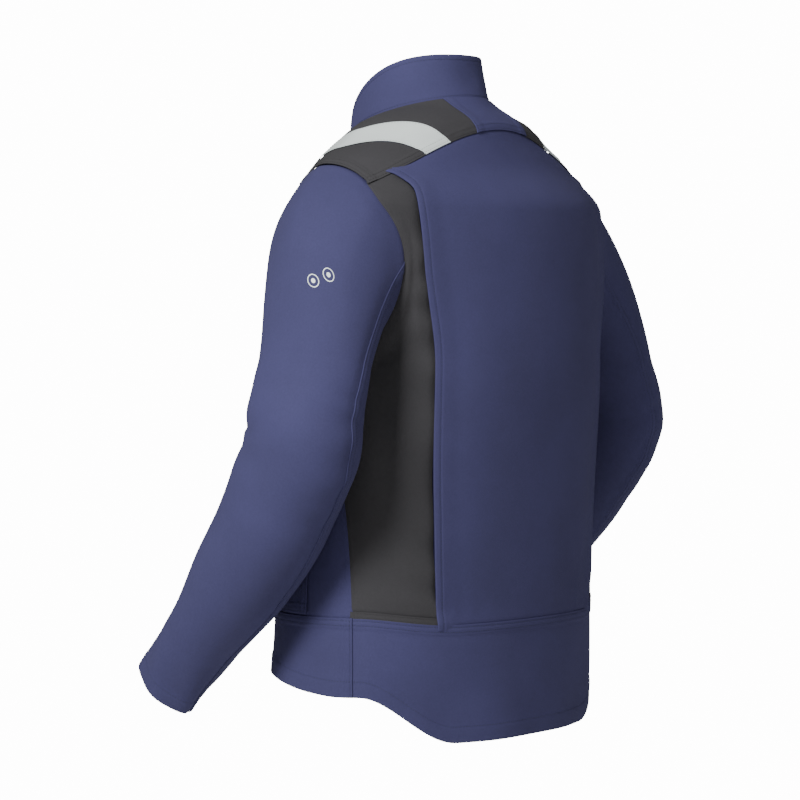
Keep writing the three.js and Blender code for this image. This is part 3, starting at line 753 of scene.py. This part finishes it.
tailPatch = coons(
    tailSide(1),
    tailSide(-1),
    lambda u: (mix(1, -1, u) * sideEdge, hemHeight(mix(1, -1, u) * sideEdge)),
    lambda u: (mix(1, -1, u) * sideEdge, waistHeight(mix(1, -1, u) * sideEdge)),
)


# The drop tail ripples gently towards its free edge.
def tailFolds(points, u, v, distance):
    ripple = 2.2 * np.sin(u * 17 + 1.2 * np.sin(u * 5)) + 1.3 * np.sin(u * 31 + 2)
    return ripple * smooth((1 - v) / 0.9) * 0.8


backHem = {
    "nodes": ["back_hem_panel"],
    "cloth": navy,
    "thread": navyThread,
    "slot": "navy_twill",
    "edges": {"left": "sunk", "right": "sunk", "low": "hemmed", "high": "lapped"},
    "rows": [("low", 18.5), ("high", 2.2), ("high", 8.0)],
    "relief": tailFolds,
    "sewn": ("left", "right", "high"),
    "wrinkle": ((120, 120, 90), 2.0),
    "coarse": 4.0,
}
hemPiece, _ = clothPanel("back_hem_panel", onBody(tailPatch), backHem)

sideTop = float(crossing(backYokeSeam, pleatAngle(1.0)))


def sideSurface(low, high):
    def surface(u, v):
        v = mix(low, high, v)
        z = mix(waistHeight(sideEdge), backYokeEnd, v)
        outer = np.where(z < armpitHeight, sideSeamAngle(z), armholeAngle(z, False))
        bottom = waistHeight(mix(sideEdge, pleatAngle(0.0), u))
        return bodyPoint(mix(outer, pleatAngle(v), u), mix(bottom, mix(backYokeEnd, sideTop, u), v))

    return surface


bandShare = 9.0 / (sideTop - hemHeightBack)


# Short puckers run in from the pleat, and one soft fall comes down from the armhole.
def sideFolds(points, u, v, distance):
    pucker = np.sin(v * 52 + 3 * np.sin(v * 9)) * np.exp(-distance["right"] / 34) * 1.5
    fall = (
        3.0 * np.exp(-(((u - 0.42 - 0.12 * np.sin(v * 4)) / 0.16) ** 2))
        * smooth(v / 0.25) * smooth((1 - v) / 0.3)
    )
    return pucker - fall - 2.6 * np.exp(-distance["right"] / 9)


sidePanel = {
    "nodes": ["left_side_back_panel"],
    "cloth": charcoal,
    "thread": charcoalThread,
    "slot": "charcoal_twill",
    "edges": {"left": "sunk", "right": "plain", "low": "sunk", "high": "sunk"},
    "relief": sideFolds,
    "sewn": ("left", "low", "high"),
    "wrinkle": ((90, 90, 120), 3.2),
}
sidePieces = clothPair("side_back_panel", sideSurface(bandShare, 1), sidePanel)
waistBand = {
    "nodes": ["left_waist_binding"],
    "cloth": charcoal,
    "thread": charcoalThread,
    "slot": "charcoal_twill",
    "edges": {"left": "sunk", "right": "plain", "low": "plain", "high": "plain"},
    "rows": [("low", 2.0), ("high", 1.8)],
    "outer": 0.9,
    "wrinkle": ((60, 60, 60), 0.8),
}
bandPieces = clothPair("waist_band", sideSurface(0, bandShare), waistBand)
print("stage: back")


# ---- shoulders ----
def stripeEdge(offset):
    return lambda y: offset - stripeSlope * np.maximum(0, y) ** 1.02


def edgeLine(edge):
    end = bisect(0.0, bladeDepth, lambda y: y < backSeam(edge(y)))
    start = frontSeam(edge(0.0))
    return lambda v: (edge(mix(start, end, v)), mix(start, end, v))


def seamRow(seam, start, end):
    return lambda u: (mix(start, end, u), seam(mix(start, end, u)))


innerLine, outerLine = edgeLine(stripeEdge(stripeInner)), edgeLine(stripeEdge(stripeInner + stripeWidth))
backTurn = math.asin((backYokeEnd - armholeMiddle) / armholeHalf)
frontTurn = math.pi - math.asin((frontYokeEnd - armholeMiddle) / armholeHalf)


def armholeLine(v):
    spot = armholePoint(mix(frontTurn, backTurn, v))
    return spot[..., 0], spot[..., 1]


corner = 0.75
cornerTurn = math.asin((neckYokeHalf - 1) / neckHalfWidth)


def neckLine(v):
    along = neckPoint(mix(frontNeckTurn, cornerTurn, v / corner))
    top = neckPoint(cornerTurn)
    share = (v - corner) / (1 - corner)
    x = np.where(v < corner, along[..., 0], mix(top[0], neckYokeHalf, share))
    y = np.where(v < corner, along[..., 1], mix(top[1], float(backSeam(neckYokeHalf)), share))
    return x, y


def between(left, right):
    ends = [float(left(0.0)[0]), float(right(0.0)[0]), float(left(1.0)[0]), float(right(1.0)[0])]
    return onShoulder(coons(left, right, seamRow(frontSeam, *ends[:2]), seamRow(backSeam, *ends[2:])))


stripe = {
    "nodes": ["left_reflective_stripe"],
    "cloth": silver,
    "thread": paleThread,
    "slot": "reflective_tape",
    "edges": {"low": "lapped", "high": "lapped"},
    "rows": [("left", 2.0), ("right", 2.0), ("high", 2.2), ("high", 8.0)],
    "outer": 0.9,
    "wrinkle": ((80, 80, 80), 1.0),
    "coarse": 4.0,
}
yoke = {
    "cloth": charcoal,
    "thread": charcoalThread,
    "slot": "charcoal_twill",
    "edges": {"left": "plain", "right": "lapped", "low": "lapped", "high": "lapped"},
    "rows": [("right", 2.4), ("right", 8.0), ("high", 2.2), ("high", 8.0)],
    "wrinkle": ((70, 70, 70), 1.4),
    "coarse": 4.0,
}
innerYoke = {
    **yoke,
    "nodes": ["left_inner_shoulder_yoke"],
    "edges": {"low": "lapped", "high": "lapped"},
    "rows": [("high", 2.2), ("high", 8.0)],
}
shoulderPieces = [
    *clothPair("reflective_stripe", between(innerLine, outerLine), stripe),
    *clothPair(
        "outer_shoulder_yoke", between(outerLine, armholeLine),
        {**yoke, "nodes": ["left_outer_shoulder_yoke"]}
    ),
    *clothPair("inner_shoulder_yoke", between(neckLine, innerLine), innerYoke),
]


def neckYokeSide(sign):
    def side(v):
        x, y = neckLine(mix(corner, 1, v))
        return sign * x, y

    return side


neckYokePatch = coons(
    neckYokeSide(-1),
    neckYokeSide(1),
    lambda u: tuple(np.moveaxis(neckPoint(mix(-cornerTurn, cornerTurn, u))[..., :2], -1, 0)),
    lambda u: (mix(-neckYokeHalf, neckYokeHalf, u), backSeam(mix(-neckYokeHalf, neckYokeHalf, u))),
)
neckYoke = {
    "nodes": ["back_neck_yoke"],
    "cloth": navy,
    "thread": navyThread,
    "slot": "navy_twill",
    "edges": {"left": "lapped", "right": "lapped", "high": "lapped"},
    "rows": [("left", 2.2), ("right", 2.2), ("high", 2.2), ("high", 8.0)],
    "outer": 0.4,
    "coarse": 4.0,
    "wrinkle": ((80, 80, 80), 0.8),
}
neckYokePiece, _ = clothPanel("back_neck_yoke", onShoulder(neckYokePatch), neckYoke)
print("stage: shoulders")


# ---- collar: the outer cloth turns over its top edge and goes down inside as the lining ----
collarHeight, collarFrontHeight, collarTaper, collarLean = 51.0, 37.0, 0.93, -6.0


def collarTop(turn):
    share = np.sin((math.pi / 2) * clamp01((1 + np.cos(turn)) / 2) ** 0.85)
    low = neckPoint(turn)
    x = low[..., 0] * collarTaper
    y = neckCentreY + collarLean + collarTaper * (low[..., 1] - neckCentreY) + 3 * (1 - share)
    return np.stack([x, y, mix(neckFrontHeight + collarFrontHeight, bodyLength + collarHeight, share)], -1)


def collarSurface(u, v):
    end = math.pi - math.asin(zipOpening / neckHalfWidth)
    turn = mix(end, -end, u)
    low, high = neckPoint(turn), collarTop(turn)
    flat = mix(low, high, (1 - (1 - v) ** 1.7)[..., None])
    return np.concatenate([flat[..., :2], mix(low, high, v[..., None])[..., 2:]], -1)


def collarFolds(points, u, v, distance):
    return 1.3 * np.sin(u * 23) * np.sin(v * 3.1) + 0.6 * np.sin(u * 57 + 2) * (1 - v)


edgeSteps["rolled"] = [
    (1.0, -0.5), (1.4, -1.9), (0.6, -3.1), (-3.0, -3.8), (-12.0, -4.8), (-24.0, -6.4), (-36.0, -8.6),
    (-44.0, -10.4)
]
seams["rolled"] = lambda d: -0.6 * (1 - smooth(d / 3)) - 0.5 * np.exp(-(((d - 5.5) / 0.9) ** 2))
collar = {
    "nodes": ["collar", "collar_lining"],
    "cloth": navy,
    "thread": navyThread,
    "slot": "navy_twill",
    "edges": {"left": "lapped", "right": "lapped", "low": "sunk", "high": "rolled"},
    "rows": [("high", 5.5), ("low", 3.0)],
    "relief": collarFolds,
    "sewn": ("low",),
    "wrinkle": ((70, 70, 60), 1.2),
    "coarse": 3.5,
}
collarPiece, _ = clothPanel("collar", collarSurface, collar)
print("stage: collar")


# ---- sleeves: each is an upper piece from the armhole seam to just below the armpit and a lower one from there to the cuff; both are left unattached, so neither bends ----
sleeveStations = [
    {"at": (279, 46, armpitHeight - 1), "depth": 71, "width": 55},
    {"at": (301, 48, armpitHeight - 75), "depth": 71, "width": 60},
    {"at": (293, 4, armpitHeight - 163), "depth": 66, "width": 60},
    {"at": (287, -60, armpitHeight - 247), "depth": 62, "width": 55},
    {"at": (280, -134, armpitHeight - 325), "depth": 47, "width": 48},
    {"at": (279, -190, armpitHeight - 389), "depth": 45, "width": 39},
]
stationNumber = np.arange(6) / 5
sleeveLine = [monotone(stationNumber, [s["at"][k] for s in sleeveStations]) for k in range(3)]
sleeveDepth = monotone(stationNumber, [s["depth"] for s in sleeveStations])
sleeveWidth = monotone(stationNumber, [s["width"] for s in sleeveStations])


def linePoint(along):
    return np.stack([curve(along) for curve in sleeveLine], -1)


def lineAhead(along):
    step = linePoint(along + 0.04) - linePoint(along - 0.04)
    return step / np.linalg.norm(step, axis=-1, keepdims=True)


def tubePoint(along, turn):
    along, turn = np.broadcast_arrays(np.asarray(along, float), np.asarray(turn, float))
    ahead = lineAhead(along)
    behind = np.array([0, 1.0, 0]) - ahead * ahead[..., 1:2]
    behind /= np.linalg.norm(behind, axis=-1, keepdims=True)
    outside = np.cross(ahead, behind)
    back = (sleeveDepth(along) * np.cos(turn))[..., None]
    out = (sleeveWidth(along) * np.sin(turn))[..., None]
    return linePoint(along) + behind * back + outside * out


# The sleeve head bends from the armhole seam into the tube.
def headPoint(share, turn):
    start, end = armholePoint(turn), tubePoint(0.0 * turn, turn)
    reach = np.linalg.norm(end - start, axis=-1)
    fall = degree * (46 - 18 * np.sin(turn))
    leave = (
        np.stack([np.cos(fall), 0 * fall, -np.sin(fall)], -1)
        * (reach * (0.75 + 0.4 * np.sin(turn)))[..., None]
    )
    arrive = lineAhead(0.0 * turn) * (reach * (0.65 + 0.25 * np.sin(turn)))[..., None]
    t = np.broadcast_to(share, turn.shape)[..., None]
    return (
        start * (1 + 2 * t) * (1 - t) ** 2
        + leave * t * (1 - t) ** 2
        + end * t * t * (3 - 2 * t)
        + arrive * t * t * (t - 1)
    )


def sleevePoint(along, turn):
    along, turn = np.broadcast_arrays(np.asarray(along, float), np.asarray(turn, float))
    head = headPoint(1 + np.minimum(along, 0), turn)
    return np.where(along[..., None] < 0, head, tubePoint(np.maximum(along, 0), turn))


# Along the sleeve: -1 at the armhole seam, 0 at the armpit and 1 at the cuff. The cloth is cut at the back
# seam.
border = 0.035
elbowAt = 0.2
fullTurn = 2 * math.pi


def sleeveSurface(low, high):
    return lambda u, v: sleevePoint(mix(low, high, v), fullTurn * (1 - u))


# Creases gather at the crook of the elbow and behind it, with long soft falls down the arm.
def sleeveFolds(low, high, phase):
    def folds(points, u, v, distance):
        along = mix(low, high, v)
        turn = fullTurn * (1 - u)
        nearElbow = np.exp(-(((along - elbowAt - 0.03) / 0.13) ** 2))
        crook = np.exp(-(((np.mod(turn, fullTurn) - math.pi * 0.95) / 1.1) ** 2))
        rings = np.sin(along * 62 + 1.7 * np.sin(turn * 2)) * nearElbow * (0.3 + 0.9 * crook)
        behind = (
            (np.exp(-((np.mod(turn + 0.25, fullTurn) - 0.25) / 0.45) ** 2))
            * np.sin(along * 96 + 1) * nearElbow * 1.2
        )
        diagonal = 1.8 * np.sin(along * 7.5 + turn * 1.6 + phase) * smooth((along - 0.1) / 0.3)
        cap = 1.7 * np.sin(turn * 3 + 0.6) * smooth((along + 0.9) / 0.35) * smooth((0.25 - along) / 0.3)
        wrist = 1.2 * np.sin(turn * 5 + along * 20) * smooth((along - 0.75) / 0.2)
        fade = smooth(np.minimum(np.mod(turn, fullTurn), fullTurn - np.mod(turn, fullTurn)) / 0.22)
        return (rings + diagonal + cap + wrist) * fade + behind

    return folds


def blendAlong(piece, start, end, weights):
    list(piece["between"])
    tuple(place(start))
    tuple(place(end))
    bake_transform(piece)
    del piece["between"]
    if weights is not None:
        np.asarray(weights, np.float32)


sleeve = {
    "cloth": navy,
    "thread": navyThread,
    "slot": "navy_twill",
    "wrinkle": ((75, 75, 120), 3.0),
    "coarse": 4.5,
}
upperSleeve = {
    **sleeve,
    "nodes": ["left_sleeve_head", "left_upper_top_sleeve", "left_upper_under_sleeve"],
    "edges": {"left": "lapped", "right": "plain", "low": "plain", "high": "tucked"},
    "rows": [("left", 2.2), ("left", 8.0)],
    "relief": sleeveFolds(border, -0.985, 0.4),
    "sewn": ("high",),
    "weight": lambda u, v: smooth((1 - v) * 1.15),
}
lowerSleeve = {
    **sleeve,
    "nodes": ["left_elbow", "left_lower_top_sleeve", "left_lower_under_sleeve", "left_cuff_hem"],
    "edges": {"left": "lapped", "right": "plain", "low": "hemmed", "high": "plain"},
    "rows": [("left", 2.2), ("left", 8.0), ("low", 17.5)],
    "relief": sleeveFolds(1.0, border, 0.4),
    "sewn": (),
    "weight": lambda u, v: 0 * u,
}
sleevePieces = []
for side, sign in (("left", 1), ("right", -1)):
    for name, low, high, settings in (
        ("upper", border, -0.985, upperSleeve), ("lower", 1.0, border, lowerSleeve)
    ):
        surface = sleeveSurface(low, high)
        own = {
            **settings, "seed": 3.1 if sign > 0 else 8.4,
            "nodes": [n.replace("left", side) for n in settings["nodes"]]
        }
        if sign < 0:
            surface = mirrored(surface)
            swap = {"left": "right", "right": "left"}
            own["edges"] = {swap.get(key, key): kind for key, kind in settings["edges"].items()}
            own["rows"] = [(swap.get(key, key), at) for key, at in settings["rows"]]
            # The folds are drawn for the left sleeve, so the right one reads them from the other side.
            own["relief"] = lambda p, u, v, d, folds=settings["relief"]: folds(p, 1 - u, v, d)
        piece, data = clothPanel(f"{side}_sleeve_{name}", surface, own)
        if name == "upper":
            piece["between"] = ["jacket_body", f"{side}_upper_sleeve"]
            blendAlong(piece, (sign * 225, 0, 600), (sign * 300, 0, 500), data[:, 2])
        else:
            piece["between"] = [f"{side}_upper_sleeve", f"{side}_lower_sleeve"]
            blendAlong(piece, (sign * 299, 50, 418), (sign * 295, 8, 318), None)
        sleevePieces.append(piece)
print("stage: sleeves")


# ---- two plain printed marks on the left upper sleeve ----
def printMark(name, along, turn, radius):
    made = bmesh.new()
    bmesh.ops.create_circle(made, cap_ends=False, segments=40, radius=radius)
    bmesh.ops.create_circle(made, cap_ends=False, segments=40, radius=radius - 1.1)
    bmesh.ops.bridge_loops(made, edges=made.edges[:])
    bmesh.ops.create_circle(made, cap_ends=True, segments=24, radius=radius * 0.36)
    faceRate = 1 / float(np.linalg.norm(sleevePoint(along, turn + 0.01) - sleevePoint(along, turn))) * 0.01
    downRate = 1 / float(np.linalg.norm(sleevePoint(along + 0.01, turn) - sleevePoint(along, turn))) * 0.01
    spots = np.array([v.co[:] for v in made.verts])
    turns, alongs = turn - spots[:, 0] * faceRate, along - spots[:, 1] * downRate
    base = sleevePoint(alongs, turns)
    su = sleevePoint(alongs, turns - 0.01) - base
    sv = sleevePoint(alongs - 0.01, turns) - base
    normal = np.cross(su, sv)
    normal /= np.linalg.norm(normal, axis=-1, keepdims=True)
    u, v = 1 - turns / fullTurn, (alongs - border) / (-0.985 - border)
    lift = upperSleeve["relief"](base, u, v, None) + 3.0 * waves(base, sleeve["wrinkle"][0], 3.1) + 0.35
    for vert, spot in zip(made.verts, place(base + normal * lift[..., None])):
        vert.co = spot
    bmesh.ops.recalc_face_normals(made, faces=made.faces)
    data = np.concatenate([spots[:, :2], smooth((1 - v) * 1.15)[:, None]], 1)
    piece = finishMesh(name, made, data, [silver])
    piece["between"] = ["jacket_body", "left_upper_sleeve"]
    blendAlong(piece, (225, 0, 600), (300, 0, 500), data[:, 2])
    return piece


printMark("sleeve_mark_low", -0.36, 68 * degree, 8.0)
printMark("sleeve_mark_high", -0.42, 55 * degree, 8.0)


# ---- front ----
def frontEdgeAngle(z):
    return math.pi - angleAtWidth(zipOpening, z, True)


edgeTop = float(neckHeight(math.pi - math.asin(zipOpening / neckHalfWidth)))
frontBottom = hemHeightBack + waistRise


def frontTop(x):
    onNeck = neckHeight(math.pi - np.arcsin(clamp01(x / neckHalfWidth)))
    return np.where(x < frontNeckEnd, onNeck, frontYokeSeam(x))


def frontSurface(u, v):
    topAngle = mix(frontEdgeAngle(edgeTop), float(armholeAngle(frontYokeEnd, True)), u)
    top = crossing(frontTop, topAngle)
    z = mix(frontBottom, top, v)
    sideTopHeight = float(crossing(frontTop, np.array(float(armholeAngle(frontYokeEnd, True)))))
    sideHeight = mix(frontBottom, sideTopHeight, v)
    side = np.where(sideHeight < armpitHeight, sideSeamAngle(sideHeight), armholeAngle(sideHeight, True))
    points = bodyPoint(mix(frontEdgeAngle(mix(frontBottom, edgeTop, v)), side, u), z)
    reached = bodyPoint(topAngle, top)
    onNeck = neckPoint(math.pi - np.arcsin(clamp01(reached[..., 0] / neckHalfWidth)))
    onYoke = shoulderPoint(reached[..., 0], frontSeam(reached[..., 0]))
    seam = np.where(reached[..., :1] < frontNeckEnd, onNeck, onYoke)
    return points + (seam - reached) * (clamp01((v - 0.8) / 0.2) ** 2)[..., None]


def frontFolds(points, u, v, distance):
    falls = (
        2.4 * np.sin(u * 8 + 2 * np.sin(v * 2.5))
        * smooth((0.8 - v) / 0.5) * smooth(v / 0.2) * smooth(u / 0.3)
    )
    pull = 1.8 * np.sin(u * 14 - v * 20) * np.exp(-(((u - 0.85) / 0.2) ** 2)) * smooth((v - 0.35) / 0.3)
    return falls + pull


frontPanel = {
    "nodes": ["left_front_panel"],
    "cloth": navy,
    "thread": navyThread,
    "slot": "navy_twill",
    "edges": {"left": "lapped", "right": "sunk", "low": "sunk", "high": "tucked"},
    "rows": [("left", 6.0)],
    "relief": frontFolds,
    "wrinkle": ((110, 110, 160), 2.6),
}
frontPieces = clothPair("front_panel", frontSurface, frontPanel)


# The front hem panel, flaring a little towards its free edge.
def frontHemSurface(u, v):
    angle = mix(float(frontEdgeAngle(hemHeightBack)), sideEdge, u)
    return bodyPoint(angle, mix(hemHeight(angle), waistHeight(angle), v))


def frontHemFolds(points, u, v, distance):
    flare = 6.0 * smooth((u - 0.35) / 0.4) * smooth((1.1 - u) / 0.4)
    return (flare + 1.2 * np.sin(u * 15) * smooth((u - 0.35) / 0.2)) * (1 - v) ** 1.5


frontHem = {
    **frontPanel,
    "nodes": ["left_front_hem_panel"],
    "edges": {"left": "lapped", "right": "lapped", "low": "hemmed", "high": "lapped"},
    "rows": [("left", 6.0), ("right", 2.2), ("low", 18.5), ("high", 2.2), ("high", 8.0)],
    "relief": frontHemFolds,
    "sewn": ("left", "right", "high"),
    "wrinkle": ((90, 90, 80), 0.4),
}
frontHemPieces = clothPair("front_hem_panel", frontHemSurface, frontHem)
print("stage: front")


# ---- pockets ----
pocketTop = hemHeightBack + 190
pocketLow = frontBottom + 4
handPatch = coons(
    lambda v: (152 * degree + 0 * v, mix(pocketLow, pocketTop, v)),
    lambda v: (mix(92, 118, smooth(v * 1.6 - 0.6)) * degree, mix(pocketLow, pocketTop, v)),
    lambda u: (mix(152, 92, u) * degree, pocketLow + 0 * u),
    lambda u: (mix(152, 118, u) * degree, pocketTop + 0 * u),
)
handPocket = {
    "nodes": ["left_hand_pocket"],
    "cloth": navy,
    "thread": navyThread,
    "slot": "navy_twill",
    "edges": {side: "lapped" for side in ("left", "right", "low", "high")},
    "rows": [("left", 2.2), ("right", 2.2), ("right", 8.0), ("low", 2.2), ("high", 2.2), ("high", 8.0)],
    "outer": 3.4,
    "wrinkle": ((80, 80, 90), 2.0),
}
pocketPieces = clothPair("hand_pocket", onBody(handPatch), handPocket)


def chestArea(low, high):
    return lambda u, v: bodyPoint(mix(164, 141, u) * degree, mix(low, high, v))


chestPocket = {**handPocket, "nodes": ["chest_pocket"], "coarse": 4.0, "wrinkle": ((60, 60, 60), 1.2)}
pocketPieces.append(clothPanel("chest_pocket", chestArea(440, 545), chestPocket)[0])
chestFlap = {
    **chestPocket,
    "nodes": ["chest_pocket_flap"],
    "body": "chest_flap",
    "outer": 7.8,
    "edges": {"left": "lapped", "right": "lapped", "low": "lapped", "high": "plain"},
    "wrinkle": ((60, 60, 60), 0.4),
}
pocketPieces.append(clothPanel("chest_pocket_flap", chestArea(510, 552), chestFlap)[0])


# ---- fastening: it leans with the straight front edge. y is depth behind the front edges ----
def leaning(x, y, z):
    x, y, z = np.broadcast_arrays(np.asarray(x, float), np.asarray(y, float), np.asarray(z, float))
    lean = math.atan(frontLean)
    return np.stack(
        [
            x,
            -frontHemDepth + y * math.cos(lean) + z * math.sin(lean),
            z * math.cos(lean) - y * math.sin(lean),
        ],
        -1,
    )


zipTop, zipBottom = neckFrontHeight + collarFrontHeight - 2, frontHemRise + 4
flapEdge, flapHinge, flapBottom = -34.0, 26.0, frontHemRise + 2


def flapSurface(u, v):
    return leaning(mix(flapEdge, flapHinge, u), -3.5, mix(flapBottom, zipTop + 2, v))


stormFlap = {
    "nodes": ["storm_flap"],
    "body": "storm_flap",
    "cloth": navy,
    "thread": navyThread,
    "slot": "navy_twill",
    "edges": {"left": "lapped", "right": "plain", "low": "lapped", "high": "lapped"},
    "rows": [("left", 6.0), ("right", 2.2), ("right", 8.0), ("low", 6.0), ("high", 6.0)],
    "sewn": ("right",),
    "wrinkle": ((60, 60, 140), 0.4),
    "coarse": 4.5,
}
flapPiece, _ = clothPanel("storm_flap", flapSurface, stormFlap)


# One zip tooth: a bevelled block with its head towards the middle.
def toothShape():
    shape = bmesh.new()
    bmesh.ops.create_cube(shape, size=1.0)
    bmesh.ops.scale(shape, vec=(3.6, 2.0, 1.7), verts=shape.verts)
    bmesh.ops.bevel(
        shape, geom=shape.edges[:], offset=0.25, segments=1, profile=0.5, affect="EDGES", material=-1
    )
    points = np.array([v.co[:] for v in shape.verts])
    faces = [[v.index for v in f.verts] for f in shape.faces]
    shape.free()
    return points, faces


def buildChain():
    points, faces = toothShape()
    made = bmesh.new()
    spots, allFaces = [], []
    heights = np.arange(zipBottom + 14, zipTop - 1, 1.5)
    for k, height in enumerate(heights):
        side = 1 if k % 2 else -1
        spots.append(leaning(points[:, 0] + side * 1.1, points[:, 1] + 3.6, points[:, 2] + height))
        allFaces += [[i + k * len(points) for i in face] for face in faces]
    spots = np.concatenate(spots)
    data = addPieces(made, np.zeros((0, 3)), spots, allFaces, np.zeros((len(spots), 3)), 0)
    chain = finishMesh("zip_teeth", made, data, [metal])
    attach(chain, "jacket_body")
    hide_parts("zip_chain")


buildChain()


def paint(names, material):
    for name in names:
        node = frame["nodes"][name]
        if "cloth" not in node.data.uv_layers:
            node.data.uv_layers.new(name="cloth")
        node.data.materials.clear()
        node.data.materials.append(material)


studs = [f"flap_stud_{kind}_{i}" for kind in ("cap", "post") for i in (1, 2, 3, 4)]
paint(["zip_box", "zip_slider", "zip_slider_back", "zip_pull", *studs], metal)
paint(["left_zip_tape", "right_zip_tape", "hang_loop"], tape)
print("stage: fastening")

declare(backPiece)
declare(hemPiece)
for piece in [*sidePieces, *bandPieces, *shoulderPieces, neckYokePiece, collarPiece, *sleevePieces]:
    declare(piece)
for piece in [*frontPieces, *frontHemPieces, *pocketPieces, flapPiece]:
    declare(piece)


# ---- view ----
def addCamera():
    camera = bpy.data.objects.new("camera", bpy.data.cameras.new("camera"))
    bpy.context.scene.collection.objects.link(camera)
    turn = math.radians(129.52)
    toward = np.array([math.sin(turn), -math.cos(turn), 0])
    right = np.array([math.cos(turn), math.sin(turn), 0])
    aside = right * -44.93
    camera.location = Vector(place(toward * 3703.25 + aside + np.array([0, 0, 512.82])))
    target = Vector(place(aside + np.array([0, 0, 399.13])))
    camera.rotation_euler = (target - camera.location).to_track_quat("-Z", "Y").to_euler()
    camera.data.lens = 135.03
    camera.data.sensor_width = 36
    bpy.context.scene.camera = camera
    return toward, right


def addLight(name, spot, target, size, power):
    light = bpy.data.objects.new(name, bpy.data.lights.new(name, "AREA"))
    bpy.context.scene.collection.objects.link(light)
    light.location = Vector(spot)
    light.rotation_euler = (Vector(target) - light.location).to_track_quat("-Z", "Y").to_euler()
    light.data.size = size
    light.data.energy = power
    return light


def plainSheet(name, size, material):
    made = bmesh.new()
    bmesh.ops.create_grid(made, x_segments=2, y_segments=2, size=size)
    sheet = finishMesh(name, made, np.zeros((9, 2)), [material])
    return sheet


# A pale floor under the hanging jacket, and a bright paper backdrop far behind it.
def addStage(toward):
    pale, tree, surface = newMaterial("studio_floor")
    surface.inputs["Base Color"].default_value = (0.9, 0.9, 0.9, 1)
    surface.inputs["Roughness"].default_value = 0.9
    floor = plainSheet("floor", 5.0, pale)
    floor.location.z = -2.05
    paper, tree, surface = newMaterial("studio_paper")
    surface.inputs["Base Color"].default_value = (1, 1, 1, 1)
    surface.inputs["Emission Color"].default_value = (1, 1, 1, 1)
    surface.inputs["Emission Strength"].default_value = 14.0
    paperSheet = plainSheet("backdrop", 3.3, paper)
    paperSheet.location = Vector(-toward * 20.0 + np.array([0, 0, -1.0]))
    paperSheet.rotation_euler = Vector(toward).to_track_quat("Z", "Y").to_euler()
    world = bpy.data.worlds.new("studio")
    world.use_nodes = True
    world.node_tree.nodes["Background"].inputs[0].default_value = (1, 1, 1, 1)
    world.node_tree.nodes["Background"].inputs[1].default_value = 0.2
    bpy.context.scene.world = world


toward, right = addCamera()
addStage(toward)
middle = (0, 0, -0.35)
addLight("key", toward * 2.5 - right * 1.6 + np.array([0, 0, 1.4]), middle, 1.0, 135)
addLight("fill", toward * 2.2 + right * 2.4 + np.array([0, 0, 0.9]), middle, 2.4, 20)
print("stage: view")
